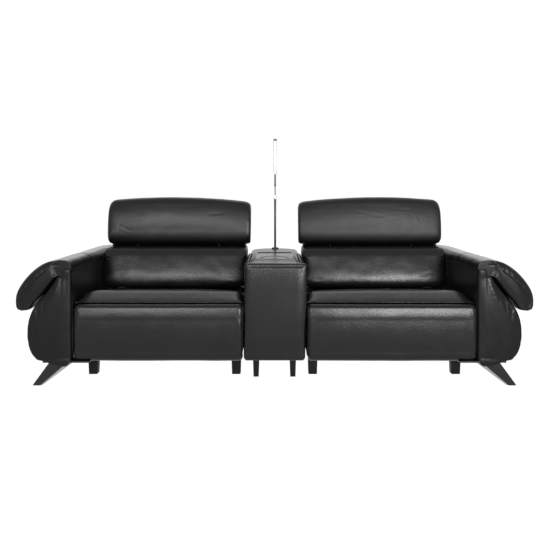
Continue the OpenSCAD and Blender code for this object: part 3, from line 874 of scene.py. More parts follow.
# Half the length of a back cushion, its outline as (y, z), and how far its ends are rounded
BACK_HALF = 434
BACK_END = 74
BACK_OUTLINE = [(188, 452), (194, 540), (188, 632), (172, 656), (140, 666), (104, 663),
                (80, 650), (68.5, 628), (60, 596), (51.2, 560), (44, 530), (37.6, 498),
                (34.4, 466), (36, 444), (42.5, 430), (60, 423), (108, 414), (168, 424)]


def make_backs():
    """Back cushions that lean forward to a full lumbar nose above the seat"""

    def draw(y, z, end):
        return 10 + 16 * ramp(-y, -170, -70)

    def held(x, y, z):
        rear, face = ramp(y, 120, 165), ramp(-z, -650, -610)
        ends = ramp(abs(x - UNIT_X), BACK_HALF - 46, BACK_HALF - 8)
        return np.maximum.reduce([rear, face, ends])

    base = make_object("back", cushion(BACK_OUTLINE, BACK_HALF, draw, BACK_END, crown=6,
                                       lean=(-1, 0), middle=UNIT_X))
    even(base, 8, 4)
    inflate(base, held, 4)
    finer(base)
    for side, sign in SIDES:
        obj = copied(base, side + "_back_cushion_leather", sign < 0)
        skin = Leather(obj, sign, 21 + sign)
        skin.swell(140, 2.2, 3)
        skin.swell(55, 0.7, 4)
        welts, rows = [], []
        for end in (-1, 1):
            x = UNIT_X + end * (BACK_HALF + 4)
            seam = skin.line([(x, 130, 646), (x, 112, 610), (x, 92, 560), (x, 76, 515),
                              (x, 70, 480), (x, 86, 452)])
            welts.append(skin.press(seam, 4.5, 3))
            skin.gathers(seam, 26, 46, 0.5, away=1)
            rows.append(seam.beside(6))
        for x, z, dx, dz in ((1006, 640, -30, -30), (1012, 606, -40, -14), (1000, 655, -44, -10),
                             (190, 640, 30, -26)):
            skin.crease((x, 60, z), (x + dx, 50, z + dz), 8, 1.0, 4)
        for x, z, dx, dz in ((860, 500, 110, 14), (300, 486, -80, -10)):
            skin.crease((x, 40, z), (x + dx, 40, z + dz), 14, 0.5, 6)
        skin.done()
        upholster(obj, side + "_back", side + "_back_cushion")
        trim(side + "_back_cushion", side + "_back", welts, rows)
    bpy.data.objects.remove(base)


# Half the length of a headrest, its middle, its outline as (y, z) from its hinge axis, how far
# its ends are rounded, and the rise of its arched top
HEAD_HALF = 440
HEAD_MIDDLE = UNIT_X - 12
HEAD_END = 46
HEAD_RISE = 27
HEAD_OUTLINE = [(58, 0), (66, 62), (75, 122), (76, 164), (64, 192), (38, 206), (14, 204),
                (-3, 196), (-16, 182), (-26.5, 162), (-33, 142), (-39, 117), (-44, 92),
                (-47.6, 67), (-50, 38), (-51.2, 13), (-48.4, -11), (-40.5, -32), (-22, -48),
                (4, -57), (28, -54), (48, -36)]

# Wrinkles of each headrest's face, as x and z of the start and the run in x and z, and their depth
HEAD_WRINKLES = {
    "left": ((930, 820, 40, -60), (870, 760, 90, 26), (300, 870, 120, -14)),
    "right": ((450, 880, 200, -24), (480, 846, 220, 10), (560, 870, 170, -40),
              (640, 826, 180, 14), (850, 860, 16, -90), (885, 870, 24, -100),
              (915, 850, 20, -80), (700, 900, 170, -20)),
}
HEAD_WRINKLE_DEPTHS = {"left": 0.4, "right": 0.3}


def make_headrests():
    """Headrests: long pads with an arched top, full outer ends and boxed ends at the console"""

    def draw(y, z, end):
        high = ramp(z, 860, 930)
        return 16 + 26 * high if end > 0 else 12 + 6 * high

    def held(x, y, z):
        below, rear, above = ramp(-z, -720, -685), ramp(y, 230, 262), ramp(z, 900, 930)
        ends = ramp(abs(x - HEAD_MIDDLE), HEAD_HALF - 44, HEAD_HALF - 8)
        return np.maximum.reduce([below, rear, above, ends])

    points = [(HEAD_AXIS[0] + y, HEAD_AXIS[1] + z) for y, z in HEAD_OUTLINE]
    base = make_object("headrest", cushion(points, HEAD_HALF, draw, HEAD_END, crown=HEAD_RISE,
                                           lean=(-0.3, 1), peak=0.12, middle=HEAD_MIDDLE))
    even(base, 8, 4)
    inflate(base, held, 3)
    finer(base)
    for side, sign in SIDES:
        obj = copied(base, side + "_headrest_leather", sign < 0)
        skin = Leather(obj, sign, 31 + sign)
        skin.swell(150, 1.4, 5)
        skin.swell(50, 0.35, 6)
        welts, rows = [], []
        for end in (-1, 1):
            x = HEAD_MIDDLE + end * (HEAD_HALF + 4)
            seam = skin.line([(x, 168, 700), (x, 164, 745), (x, 172, 800), (x, 184, 850),
                              (x, 202, 886), (x, 226, 906), (x, 250, 900), (x, 258, 860),
                              (x, 250, 790), (x, 244, 720)])
            welts.append(skin.press(seam, 4.5, 3.5))
            skin.gathers(seam, 24, 30, 0.4, away=1, last=0.6)
            rows.append(seam.beside(6))
        for x, z, dx, dz in HEAD_WRINKLES[side]:
            skin.crease((x, 150, z), (x + dx, 150, z + dz), 12, HEAD_WRINKLE_DEPTHS[side], 5)
        skin.done()
        upholster(obj, side + "_head", side + "_headrest", HEAD_LEATHERS[side])
        trim(side + "_headrest", side + "_head", welts, rows)
    bpy.data.objects.remove(base)


# Half the length of a footrest, the middle of each, their rear face, and how far the ends are
# rounded
FOOT_HALF = 431
FOOT_MIDDLES = {"left": UNIT_X - 5, "right": UNIT_X + 3}
FOOT_BACK = -446
FOOT_END = 16

# Wrinkle at the upper corner of each footrest next to the console: start, end, width and depth
FOOT_WRINKLES = {"left": ((190, -512, 380), (166, -505, 290), 8, 0.7),
                 "right": ((190, -512, 386), (176, -505, 330), 7, 0.8)}


def make_footrests():
    """Footrest pads: flat leather fronts that roll back over the top edge"""
    y, z = FOOT_AXIS
    r = FOOT_ROLL
    points = [(FOOT_BACK - 0.8, 180), (FOOT_BACK - 1.2, 260), (FOOT_BACK - 0.8, 330)]
    points += [(y + r * math.cos(math.radians(a)), z + r * math.sin(math.radians(a)))
               for a in (-4, 24, 52, 80)]
    points += [(y - 18, z + 31.5), (y - 26.3, z + 26), (y - 29.6, z + 16), (y - 32.2, z + 2),
               (y - 34.3, z - 12), (y - 36, z - 28), (y - 37.2, z - 43), (y - 38, z - 58),
               (y - 38.6, z - 78), (y - 39, z - 108), (y - r - 2, 184), (y - r + 2, 145),
               (y - 12, 126), (FOOT_BACK - 10, 133)]

    def draw(y, z, end):
        return 3 + 10 * ramp(-y, 460, 500)

    def held(x, y, z):
        rear, above, below = ramp(y, -480, -462), ramp(z, 320, 360), ramp(-z, -200, -150)
        ends = ramp(abs(x - UNIT_X), FOOT_HALF - 60, FOOT_HALF - 10)
        return np.maximum.reduce([rear, above, below, ends])

    base = make_object("footrest", cushion(points, FOOT_HALF, draw, FOOT_END, crown=1,
                                           lean=(-1, 0), middle=UNIT_X))
    even(base, 8, 3)
    inflate(base, held, 2.2)
    finer(base)
    for side, sign in SIDES:
        middle = FOOT_MIDDLES[side]
        obj = copied(base, side + "_footrest_leather", sign < 0, middle - UNIT_X)
        skin = Leather(obj, sign, 41 + sign)
        skin.swell(190, 1.4, 7)
        skin.swell(60, 0.5, 8)
        welts, rows = [], []
        for end in (-1, 1):
            x = middle + end * (FOOT_HALF + 3)
            seam = skin.line([(x, -478, 408), (x, -494, 396), (x, -499, 340), (x, -499, 250),
                              (x, -497, 180), (x, -486, 146)])
            welts.append(skin.press(seam, 4.0, 2))
            rows.append(seam.beside(6))
        skin.crease(*FOOT_WRINKLES[side], 2)
        skin.crease((1006, -512, 384), (1018, -505, 330), 7, 0.7, 2)
        skin.done()
        upholster(obj, side + "_foot", side + "_foot_pad")
        trim(side + "_footrest", side + "_foot", welts, rows)
    bpy.data.objects.remove(base)


# Wrinkles of an arm's ends: start and end as (x, z), width, depth and waver
ARM_WRINKLES = (((1094, 560), (1082, 546), 5, 0.4, 1), ((1112, 532), (1086, 520), 7, 0.3, 2),
                ((1128, 516), (1098, 500), 7, 0.25, 2), ((1150, 470), (1108, 462), 9, 0.3, 3))

# Room between the roll and the arm's lobes, and radius of the edges of an arm's inner face
LOBE_ROOM = 1.5
ARM_EDGE = 20

# The lip that stands up beside the roll on an arm's inner side: its rise, and where it starts
LIP_RISE = 22
LIP_LOW = 556


def arm_outline():
    """Outline of an arm as (x, z), with a cradle for the roll"""
    x, r = ARM_IN, ROLL_R + 2
    cradle = [(ROLL_X + r * math.cos(math.radians(a)), ROLL_Z + r * math.sin(math.radians(a)))
              for a in (-56, -82, -108, -134)]
    return ([(x, 130), (x + 149, 130), (x + 191, 147), (x + 216, 186), (x + 227, 235),
             (x + 229, 284), (x + 223, 338), (x + 206, 387), (x + 184, 421), (x + 145, 465),
             (x + 101, 519)] + cradle + [(x + 1, 566), (x, 540)])


# Welt around the ends of an arm, as (x, z)
ARM_WELT = [(1075, 607), (1092, 578), (1138, 519), (1182, 465), (1222, 422), (1244, 387),
            (1261, 338), (1267, 285), (1264, 236), (1253, 188), (1229, 150), (1190, 133),
            (1150, 131)]


def arm_lobe(end):
    """Half round that closes an arm's end in front of the roll"""
    bm = bmesh.new()
    y0, y1 = sorted((end * (ARM_HALF - 1), end * (ARM_HALF - 13)))
    rod(bm, (ROLL_X, y0, ROLL_Z), (ROLL_X, y1, ROLL_Z), ROLL_R + LOBE_ROOM, 64)
    bmesh.ops.bisect_plane(bm, geom=bm.verts[:] + bm.edges[:] + bm.faces[:], dist=CUT_NEAR,
                           plane_co=(ROLL_X * MM, 0, 0), plane_no=(1, -0.001, 0.12),
                           clear_outer=True)
    bmesh.ops.holes_fill(bm, edges=[e for e in bm.edges if e.is_boundary])
    tail = box((ARM_IN + 0.5, y0, 520), (ROLL_X + 4, y1, ROLL_Z))
    return [bm, tail]


def round_inner_edges(co):
    """Rounds the upright edges of an arm's inner face"""
    dx = np.clip((ARM_IN + ARM_EDGE - co[:, 0]) / ARM_EDGE, 0, None)
    dy = np.clip((abs(co[:, 1]) - ARM_HALF + ARM_EDGE) / ARM_EDGE, 0, None)
    far = np.hypot(dx, dy)
    pull = np.where((dx > 0) & (dy > 0) & (far > 1), 1 / np.maximum(far, 1), 1)
    co[:, 0] += ARM_EDGE * dx * (1 - pull)
    co[:, 1] -= ARM_EDGE * dy * (1 - pull) * np.sign(co[:, 1])


def raise_lip(co):
    """Raises the top of an arm's inner side around the roll"""
    lip = (ramp(co[:, 2], 545, 567) * ramp(-co[:, 0], -1066, -1056)
           * ramp(-abs(co[:, 1]), -499, -490))
    co[:, 2] += LIP_RISE * lip
    hollow = np.sqrt(np.clip((ROLL_R + LOBE_ROOM) ** 2 - (ROLL_Z - co[:, 2]) ** 2, 0, None))
    beside = np.minimum(co[:, 0], np.maximum(ROLL_X - hollow, ARM_IN))
    co[:, 0] = np.where((lip > 0.02) & (co[:, 2] > LIP_LOW), beside, co[:, 0])


def make_arms():
    """Arms: full bodies that swell outwards, with piped ends and gathers under the roll"""
    body = cushion(arm_outline(), ARM_HALF, lambda x, z, end: 5, 6, along="Y", per_span=5)
    base = make_object("arm", joined("arm", [body] + arm_lobe(-1) + arm_lobe(1)))
    even(base, 6.5, 3)
    co = places(base) / MM
    round_inner_edges(co)
    raise_lip(co)
    move_to(base, co * MM)

    def held(x, y, z):
        roll = np.hypot(x - ROLL_X, z - ROLL_Z)
        cradle = ramp(-roll, -60, -50) * ramp(-abs(y), -500, -490)
        return np.maximum.reduce([ramp(-z, -150, -132), cradle, ramp(-x, -1060, -1044),
                                  ramp(z, 540, 580)])

    inflate(base, held, 7)
    finer(base)
    for side, sign in SIDES:
        obj = copied(base, side + "_arm_leather", sign < 0)
        skin = Leather(obj, sign, 51 + sign)
        skin.swell(200, 1.6, 9)
        skin.swell(70, 0.4, 10)
        welts, rows = [], []
        for end in (-1, 1):
            y = end * (ARM_HALF + 1)
            seam = skin.line([(x, y, z) for x, z in ARM_WELT])
            welts.append(skin.press(seam, 4.0, 2.0))
            away = 1 if end < 0 else -1
            skin.gathers(seam, 11, 30, 0.35, away=away, first=0.06, last=0.22, slant=0.35)
            skin.gathers(seam, 30, 40, 0.2, away=away, first=0.3, last=0.95)
            for (x0, z0), (x1, z1), width, depth, waver in ARM_WRINKLES:
                skin.crease((x0, y, z0), (x1, y, z1), width, depth, waver)
        rows.append(skin.line([(1180, -480, 128), (1180, 0, 128), (1180, 480, 128)]))
        inner = skin.line([(ARM_IN, CROSS_Y, z) for z in (500, 330, 150)])
        skin.press(inner, 4, 1.2)
        outer = skin.line([(x, CROSS_Y, z) for x, z in (
            (1150, 462), (1222, 420), (1268, 300), (1255, 190), (1190, 132))])
        skin.press(outer, 4, 2.0)
        rows += [outer.beside(5), outer.beside(-5)]
        skin.done()
        upholster(obj, "chassis", side + "_arm_cover", ARM_LEATHER)
        trim(side + "_arm", "chassis", welts, rows)
    bpy.data.objects.remove(base)


def wing_outline():
    """Outline of a wing as (x, z), with the roll that it turns on"""
    x, r = ARM_IN, ROLL_R
    roll = [(ROLL_X + r * math.cos(math.radians(a)), ROLL_Z + r * math.sin(math.radians(a)))
            for a in range(90, 287, 28)]
    return ([(x + 213, 392), (x + 240, 386), (x + 272, 385), (x + 288, 403), (x + 292, 446),
             (x + 282, 490), (x + 253, 538), (x + 204, 592), (x + 140, 633), (x + 86, 645)] + roll
            + [(x + 71, 566), (x + 84, 552), (x + 108, 524), (x + 152, 470), (x + 191, 427)])


# Welt around the ends of a wing, and the seam across its outside, as (x, z)
WING_WELT = [(1318, 420), (1314, 452), (1293, 485), (1254, 524), (1205, 568), (1166, 597),
             (1137, 613), (1118, 621), (1102, 621)]
WING_SEAM = [(ARM_IN + 7, 627), (1060, 640), (1090, 646), (1180, 634), (1250, 588), (1310, 515),
             (1334, 446), (1326, 396), (1290, 384), (1255, 390)]

# How far the ends of the roll stay inside the arm's lobes
ROLL_INSET = 13.5


def make_wings():
    """Wings: padded flaps that hang over the arms from the roll along their tops"""

    def draw(x, z, end):
        outer = ramp(x * 0.64 + z * 0.77, 1150, 1230)
        roll = ramp(-math.hypot(x - ROLL_X, z - ROLL_Z), -80, -46)
        return 5 + 26 * outer * (1 - roll)

    base = make_object("wing", cushion(wing_outline(), ARM_HALF, draw, 22, along="Y",
                                       per_span=5))
    even(base, 8, 4)
    co = places(base) / MM
    round_roll = ramp(-np.hypot(co[:, 0] - ROLL_X, co[:, 2] - ROLL_Z), -62, -47)
    limit = ARM_HALF - ROLL_INSET * round_roll
    co[:, 1] = np.clip(co[:, 1], -limit, limit)
    move_to(base, co * MM)

    def held(x, y, z):
        roll = ramp(-np.hypot(x - ROLL_X, z - ROLL_Z), -60, -50)
        under = ramp(-(x * 0.64 + z * 0.77), -1140, -1120)
        return np.maximum(roll, under * 0.8)

    inflate(base, held, 7)
    finer(base)
    for side, sign in SIDES:
        obj = copied(base, side + "_wing_leather", sign < 0)
        skin = Leather(obj, sign, 61 + sign)
        skin.swell(180, 2.0, 11)
        skin.swell(60, 0.6, 12)
        welts, rows = [], []
        for end in (-1, 1):
            y = end * (ARM_HALF + 2)
            seam = skin.line([(x, y, z) for x, z in WING_WELT])
            welts.append(skin.press(seam, 4.0, 2.5))
            away = -1 if end < 0 else 1
            skin.gathers(seam, 17, 20, 0.3, away=away, first=0.35, last=0.8)
        across = skin.line([(x, CROSS_Y, z) for x, z in WING_SEAM])
        skin.press(across, 4, 2.4)
        skin.gathers(across, 40, 34, 0.4, away=1)
        skin.gathers(across, 46, 34, 0.4, away=-1)
        rows += [across.beside(5), across.beside(-5)]
        edge = skin.line([(1300, -495, 384), (1300, 0, 384), (1300, 495, 384)])
        welts.append(skin.press(edge, 4, 1.5))
        for y in (-400, -60, 130, 330):
            skin.crease((1230, y, 600), (1300, y + 24, 520), 11, 0.5, 6)
        skin.done()
        upholster(obj, side + "_flap", side + "_flap_pad", ARM_LEATHER)
        trim(side + "_wing", side + "_flap", welts, rows)
    bpy.data.objects.remove(base)


# The console's lid well and storage compartment: half widths, fronts, rears and depths. Behind the
# well the body ends at REAR_TOP, under the rear block.
WELL_HALF, WELL_FRONT, WELL_REAR, WELL_DEPTH = 137, -446, 88, 14
STORE_HALF, STORE_FRONT, STORE_REAR, STORE_DEPTH = 132, -430, 62, 316
REAR_TOP = 600

# How far the console's front leans to the right and widens at its top, and how full its front and
# flanks are
FRONT_LEAN, FRONT_SPREAD = 8, 2
FRONT_BULGE, FLANK_BULGE = 6.5, 0.8

# The console's front is full up to FULL_Z, and its fullness fades over the next FULL_FADE
FULL_Z, FULL_FADE = 490, 122


def console_form():
    """Block of the console with its well and its storage compartment sunk into the top"""
    bm = box((-CONSOLE_HALF, CONSOLE_FRONT, CONSOLE_LOW),
             (CONSOLE_HALF, CONSOLE_REAR, CONSOLE_TOP))
    bevel(bm, 16, 5)
    cuts = ((0, (-WELL_HALF, WELL_HALF, -STORE_HALF, STORE_HALF)),
            (1, (WELL_FRONT, WELL_REAR, STORE_FRONT, STORE_REAR)), (2, (REAR_TOP,)))
    for axis, planes in cuts:
        for at in planes:
            normal = [0, 0, 0]
            normal[axis] = 1
            bmesh.ops.bisect_plane(bm, geom=bm.verts[:] + bm.edges[:] + bm.faces[:],
                                   dist=FINE_CUT_NEAR, plane_co=[c * at * MM for c in normal],
                                   plane_no=normal)

    def sink(low, high, depth):
        faces = [f for f in bm.faces if f.normal.z > 0.9
                 and low[0] < f.calc_center_median().x / MM < high[0]
                 and low[1] < f.calc_center_median().y / MM < high[1]]
        moved = bmesh.ops.extrude_face_region(bm, geom=faces)
        bmesh.ops.delete(bm, geom=faces, context="FACES")
        verts = [g for g in moved["geom"] if isinstance(g, bmesh.types.BMVert)]
        bmesh.ops.translate(bm, vec=(0, 0, -depth * MM), verts=verts)

    sink((-WELL_HALF, WELL_FRONT), (WELL_HALF, WELL_REAR), WELL_DEPTH)
    sink((-STORE_HALF, STORE_FRONT), (STORE_HALF, STORE_REAR), STORE_DEPTH)
    for v in bm.verts:
        if v.co.y / MM > WELL_REAR - 1 and v.co.z / MM > REAR_TOP + 0.5:
            v.co.z = REAR_TOP * MM
    bmesh.ops.remove_doubles(bm, verts=bm.verts, dist=WELD)
    bmesh.ops.recalc_face_normals(bm, faces=bm.faces)
    return bm


def make_console():
    """Leather body of the console, open over the storage compartment, and the lining of that"""
    obj = even(make_object("console_leather", console_form()), 6, 2)
    skin = Leather(obj, 1, 71)
    x, y, z = (skin.co / MM).T
    lean = ramp(-y, 446, 500) * ramp(z, 200, 560)
    spread = FRONT_SPREAD * np.sign(x) * ramp(abs(x), 100, 150)
    skin.co[:, 0] += (FRONT_LEAN + spread) * lean * MM
    face = (ramp(-y, 500, 506) * ramp(z, 140, 260) * ramp(-abs(x), -156, -112)
            * (1 - np.clip((z - FULL_Z) / FULL_FADE, 0, 1) ** 2))
    flank = ramp(abs(x), 152, 157) * ramp(z, 140, 240) * ramp(-z, -612, -575)
    skin.lift += (FRONT_BULGE * face + FLANK_BULGE * flank) * MM
    skin.swell(150, 1.2, 13)
    top = skin.line([(-157, -480, 615), (-150, -500, 615), (-120, -509, 615), (0, -509, 615),
                     (120, -509, 615), (150, -500, 615), (157, -480, 615)])
    skin.press(top, 6, 4.0)
    skin.gathers(top, 30, 26, 0.4, away=1)
    for s in (-1, 1):
        edge = skin.line([(s * 158, 395, 594), (s * 159, 100, 594), (s * 158, 0, 609),
                          (s * 158, -470, 610)])
        skin.press(edge, 5, 1.8)
        corner = skin.line([(s * 157, -507, 600), (s * 157, -507, 400), (s * 157, -507, 140)])
        skin.press(corner, 4, 1.0)
    skin.crease((140, -508, 592), (112, -508, 560), 8, 0.6, 3)
    skin.crease((-146, -508, 590), (-128, -508, 566), 7, 0.5, 3)
    skin.done()
    upholster(obj, "chassis", "console_cover")
    trim("console", "chassis", rows=[top.beside(-5)])

    gap = 0.8
    bm = box((gap - STORE_HALF, STORE_FRONT + gap, 300.6),
             (STORE_HALF - gap, STORE_REAR - gap, 612))
    opening = [f for f in bm.faces if f.normal.z > 0.9]
    bmesh.ops.delete(bm, geom=opening, context="FACES")
    upright = [e for e in bm.edges if not e.is_boundary]
    bevel(bm, 6, 3, upright)
    bmesh.ops.solidify(bm, geom=bm.faces[:], thickness=0.6 * MM)
    liner = make_object("console_liner", bm)
    dress(liner, BLACK_FELT, "leather", "chassis")


# Height of the lid's middle, half its width, and the seam and half-round panel in its front part
LID_TOP = 633
LID_HALF = 134
SEAM_Z = LID_TOP + 1
ARC_Y, ARC_HALF, ARC_DEPTH = -352, 82, 150


def make_lid():
    """Padded lid with a border seam, and a half-round panel stitched into its front part"""
    points = [(78, 616.6), (77, 622), (66, 627.5), (30, 630), (-60, LID_TOP - 1),
              (-190, LID_TOP), (-340, LID_TOP - 1), (-432, LID_TOP - 3), (-442, 624),
              (-442, 616.6)]
    form = cushion(points, LID_HALF, lambda y, z, end: 6, 7, crown=1.5)
    base = make_object("lid_leather", form)
    even(base, 4, 2)
    inflate(base, lambda x, y, z: np.maximum(ramp(-z, -626, -620), ramp(y, -20, 40)), 3)
    skin = Leather(base, 1, 81)
    skin.swell(120, 0.7, 14)
    border = skin.line([(x, y, SEAM_Z) for x, y in (
        (-122, -430), (-122, -200), (-122, 60), (-110, 68), (110, 68), (122, 60), (122, -200),
        (122, -430), (110, -434), (-110, -434))], closed=True, per_span=10)
    skin.press(border, 4, 2.2)
    straight = skin.line([(x, ARC_Y, SEAM_Z) for x in (-118, 0, 118)])
    arc = skin.line([(ARC_HALF * math.cos(a), ARC_Y + ARC_DEPTH * math.sin(a), SEAM_Z)
                     for a in np.linspace(0, math.pi, 13)])
    for seam in (straight, arc):
        skin.press(seam, 7, 4.6)
    skin.done()
    upholster(base, "console_lid", "lid_pad")
    trim("lid", "console_lid", [], [border.beside(4), straight.beside(4), arc.beside(4)])


# Half the width of the rear block, and how far its arched top falls to the sides
BLOCK_HALF = 146
BLOCK_FALL = 9


def make_rear_block():
    """Padded block behind the lid, arched from side to side, with the lamp's foot on it"""
    points = [(402, 602), (402, 620), (392, 630), (330, 632), (240, 632), (150, 632),
              (98, 630), (88, 620), (88, 602)]
    base = make_object("rear_block_leather",
                       cushion(points, BLOCK_HALF, lambda y, z, end: 12 * ramp(z, 606, 626), 22))
    even(base, 5, 3)
    co = places(base) / MM
    across = abs(co[:, 0]) / BLOCK_HALF
    co[:, 2] -= BLOCK_FALL * across ** 2.5 * ramp(co[:, 2], 606, 630)
    move_to(base, co * MM)
    skin = Leather(base, 1, 91)
    skin.swell(90, 0.6, 15)
    seam = skin.line([(-140, 90, 612), (0, 87, 612), (140, 90, 612)])
    skin.press(seam, 4, 1.6)
    skin.crease((30, 334, 632), (60, 320, 631), 6, 0.8, 2)
    skin.crease((-24, 350, 632), (-52, 366, 631), 6, 0.8, 2)
    skin.done()
    upholster(base, "chassis", "console_rear_block")
    trim("rear_block", "chassis", [], [seam.beside(4)])


# Half the length of a back shell, its wall, the plane where it is open, and its outline as (y, z)
SHELL_HALF = 424
SHELL_WALL = 11
SHELL_OPEN = 256
SHELL_OUTLINE = [(250, 345), (345, 344), (440, 345), (462, 367), (470, 415), (472, 485),
                 (470, 555), (458, 612), (424, 645), (370, 656), (300, 658), (250, 658)]
SHELL_WELT = [(262, 648), (370, 645), (414, 634), (446, 604), (458, 552), (460, 480),
              (458, 416), (450, 376), (432, 357), (262, 357)]


def make_back_shells():
    """Outsides of the backs: leather over a shell that is open towards the frame"""
    bm = cushion(SHELL_OUTLINE, SHELL_HALF, lambda y, z, end: 14, 16, middle=UNIT_X, per_span=6)
    front = [f for f in bm.faces if all(v.co.y / MM < SHELL_OPEN for v in f.verts)]
    bmesh.ops.delete(bm, geom=front, context="FACES")
    base = make_object("shell", bm)
    wall = base.modifiers.new("wall", "SOLIDIFY")
    wall.thickness = SHELL_WALL * MM
    wall.offset = -1
    settle(base)
    even(base, 6, 2)
    for side, sign in SIDES:
        obj = copied(base, side + "_back_shell_leather", sign < 0)
        skin = Leather(obj, sign, 95 + sign)
        skin.swell(170, 1.4, 16)
        welts, rows = [], []
        for end in (-1, 1):
            x = UNIT_X + end * (SHELL_HALF + 1)
            seam = skin.line([(x, y, z) for y, z in SHELL_WELT])
            welts.append(skin.press(seam, 5, 2.4))
        low = skin.line([(UNIT_X - SHELL_HALF + 4, 470, 400), (UNIT_X, 474, 400),
                         (UNIT_X + SHELL_HALF - 4, 470, 400)])
        skin.press(low, 4.5, 2.2)
        rows += [low.beside(5), low.beside(-5)]
        skin.done()
        upholster(obj, side + "_back", side + "_back_shell")
        trim(side + "_back_shell", side + "_back", welts, rows)
    bpy.data.objects.remove(base)


# Cuts along each edge of a flat panel or cloth
PANEL_CUTS = 24
PANEL_HALF = 425


def make_rear_panels():
    """Leather panels across the backs of the two bases"""
    panels = []
    for side, sign in SIDES:
        bm = box((UNIT_X - PANEL_HALF, 486, 134), (UNIT_X + PANEL_HALF, 498, 330))
        bmesh.ops.subdivide_edges(bm, edges=bm.edges[:], cuts=PANEL_CUTS, use_grid_fill=True)
        base = even(make_object("panel", bm), 6, 3)
        obj = copied(base, side + "_rear_panel_leather", sign < 0)
        bpy.data.objects.remove(base)
        skin = Leather(obj, sign, 99 + sign)
        skin.swell(160, 1.0, 17)
        x0, x1 = UNIT_X - PANEL_HALF + 11, UNIT_X + PANEL_HALF - 11
        border = skin.line([(x0, 500, 146), (UNIT_X, 500, 144), (x1, 500, 146), (x1, 500, 230),
                            (x1, 500, 318), (UNIT_X, 500, 320), (x0, 500, 318), (x0, 500, 230)],
                           closed=True)
        skin.press(border, 4.5, 1.8)
        skin.done()
        dress(obj, BLACK_LEATHER, "leather", "chassis")
        trim(side + "_rear_panel", "chassis", [], [border])
        panels.append(obj)
    for obj in panels:
        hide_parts("rear_panels")


# Middle and half size of the cloth under a base, its two faces, and how far it sags
DUST_MIDDLE, DUST_HALF = (587, 43), (415, 439)
DUST_LOW, DUST_HIGH = 128.8, 129.6
DUST_SAG = 5


def make_dust_and_shade_cloths():
    """Black dust cloth tacked under the two bases, sagging a little between their frames. Its
    black also works as painted shade: a dark sheet that hides the glowing floor under the bases.
    """
    (x, y), (half_x, half_y) = DUST_MIDDLE, DUST_HALF
    for side, sign in SIDES:
        bm = box((x - half_x, y - half_y, DUST_LOW), (x + half_x, y + half_y, DUST_HIGH))
        bmesh.ops.subdivide_edges(bm, edges=bm.edges[:], cuts=PANEL_CUTS, use_grid_fill=True)
        for v in bm.verts:
            across, along = (v.co.x / MM - x) / half_x, (v.co.y / MM - y) / half_y
            v.co.z -= DUST_SAG * MM * (1 - across ** 4) * (1 - along ** 4)
        if sign < 0:
            bmesh.ops.scale(bm, vec=(-1, 1, 1), verts=bm.verts)
            bmesh.ops.reverse_faces(bm, faces=bm.faces)
        # Black felt: a dust cloth, and painted shade where the glowing floor would show under the
        # base
        dress(make_object(side + "_dust_and_shade_cloth", bm), BLACK_FELT, "leather", "chassis")


# Ends of the names of boards that are stained black
STAINED = ("foot_board", "lid_board", "console_carcass", "seat_frame")

# Nodes in plain sight, which get a copy with rounded edges of this width
EDGE_WIDTHS = {
    "splayed_legs": 2.2, "block_feet": 1.5, "console_feet": 1.5, "power_inlet": 1.2,
    "left_switch_bezel": 1.2, "right_switch_bezel": 1.2, "left_open_button": 0.8,
    "right_open_button": 0.8, "left_close_button": 0.8, "right_close_button": 0.8,
    "lamp_base": 2.0, "lamp_stem": 0.5, "lamp_collar": 1.0, "lamp_neck": 0.5,
    "lamp_head": 0.8, "lamp_diffuser": 0.8}

# The plates on top of the splayed legs, in metres: what lies beyond PLATE_FROM and above PLATE_LOW
# is pulled in to PLATE_END. The polished strip along a leg's front edge ends at a plane through
# STRIP_PLACE, across STRIP_ACROSS.
PLATE_FROM, PLATE_LOW, PLATE_END = 1.19, 0.118, 1.176
STRIP_PLACE = (1.062, 0.121)
STRIP_ACROSS = (120, 141)


def make_finishes():
    """The material of each slot, and those of the feet, stained boards and polished strips"""
    near_black = (0.005, 0.005, 0.005), (0.01, 0.01, 0.01)
    deep_black = (0.003, 0.003, 0.003), (0.006, 0.006, 0.006)
    return {
        "frame_steel": painted_steel("black_frame_steel", *near_black, 0.65, 0.12),
        "leg_metal": painted_steel("black_leg_lacquer", (0.003, 0.003, 0.003),
                                   (0.007, 0.007, 0.007), 0.3, 0.3),
        "polished": brushed_metal("polished_leg_edge", (0.3, 0.3, 0.305), (0.42, 0.42, 0.42),
                                  0.16, (30, 1, 30)),
        "zinc_steel": painted_steel("black_zinc_plate", *near_black, 0.65, 0.12),
        "switch_metal": brushed_metal("satin_metal", (0.55, 0.55, 0.56), (0.75, 0.75, 0.76),
                                      0.22, (8, 8, 1)),
        "plywood": plywood(),
        "black_plastic": moulded_plastic("black_plastic", (0.008, 0.008, 0.008),
                                         (0.016, 0.016, 0.016), 0.42),
        "foot": moulded_plastic("black_foot_plastic", *deep_black, 0.45, 0.12),
        "lamp_black": moulded_plastic("lamp_black", (0.004, 0.004, 0.004), (0.01, 0.01, 0.01),
                                      0.3),
        "diffuser": opal(),
        "stained": moulded_plastic("black_stained_board", (0.005, 0.005, 0.005),
                                   (0.01, 0.01, 0.009), 0.6, 0.2),
        "leather": BLACK_LEATHER,
    }


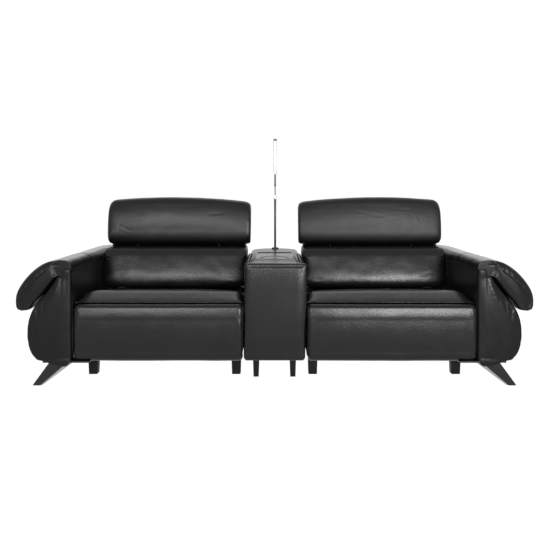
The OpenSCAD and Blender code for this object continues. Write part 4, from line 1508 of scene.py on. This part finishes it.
def shape_legs(bm):
    """Pulls in the legs' top plates, and parts the polished strips of their front edges"""
    for v in bm.verts:
        if abs(v.co.x) > PLATE_FROM and v.co.z > PLATE_LOW:
            v.co.x = math.copysign(PLATE_END, v.co.x)
    x, z = STRIP_PLACE
    for s in (-1, 1):
        bmesh.ops.bisect_plane(bm, geom=bm.verts[:] + bm.edges[:] + bm.faces[:], dist=CUT_NEAR,
                               plane_co=(s * x, 0, z), plane_no=(s * STRIP_ACROSS[0], 0,
                                                                 STRIP_ACROSS[1]))


def polish_strips(obj, material):
    """Puts bare metal on the inner part of the slanting facet at a leg's front"""
    obj.data.materials.append(material)
    x, z = STRIP_PLACE
    for face in obj.data.polygons:
        slanting = face.normal.z < -0.35 and face.normal.y < -0.7
        side = ((abs(face.center.x) - x) * STRIP_ACROSS[0]
                + (face.center.z - z) * STRIP_ACROSS[1])
        if slanting and side < 0:
            face.material_index = 1


def rounded_copy(name, node):
    """A copy of a CAD node, merged, cleaned and with rounded edges"""
    bm = bmesh.new()
    bm.from_mesh(node.data)
    bmesh.ops.remove_doubles(bm, verts=bm.verts, dist=FINE_WELD)
    bmesh.ops.dissolve_limit(bm, angle_limit=math.radians(1), verts=bm.verts, edges=bm.edges)
    if name == "splayed_legs":
        shape_legs(bm)
    bevel(bm, EDGE_WIDTHS[name], 3)
    bmesh.ops.triangulate(bm, faces=[f for f in bm.faces if len(f.verts) > 4])
    obj = make_object(name + "_finished", bm)
    obj.data.set_sharp_from_angle(angle=math.radians(40))
    return obj


def finish_frame():
    """Finishes of the CAD nodes that stay, and rounded copies of the ones in plain sight"""
    finishes = make_finishes()
    slots = {row["node"]: row["material_slot"] for row in frame["record"]["subparts"]}
    for name, node in frame["nodes"].items():
        if node.hide_render:
            continue
        slot = slots[name]
        finish = finishes[slot]
        if name.endswith(STAINED):
            finish = finishes["stained"]
        elif name.endswith("_feet"):
            finish = finishes["foot"]
        node.data.materials.clear()
        node.data.materials.append(finish)
        if name in EDGE_WIDTHS:
            obj = rounded_copy(name, node)
            dress(obj, finish, slot, node["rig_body"])
            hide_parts(name)
            if name == "splayed_legs":
                polish_strips(obj, finishes["polished"])


make_camera()
make_world()
make_floor()
for name, spec in LIGHTS.items():
    make_light(name, *spec)
make_seats()
make_backs()
make_headrests()
make_footrests()
make_arms()
make_wings()
make_console()
make_lid()
make_rear_block()
make_back_shells()
make_rear_panels()
make_dust_and_shade_cloths()
finish_frame()
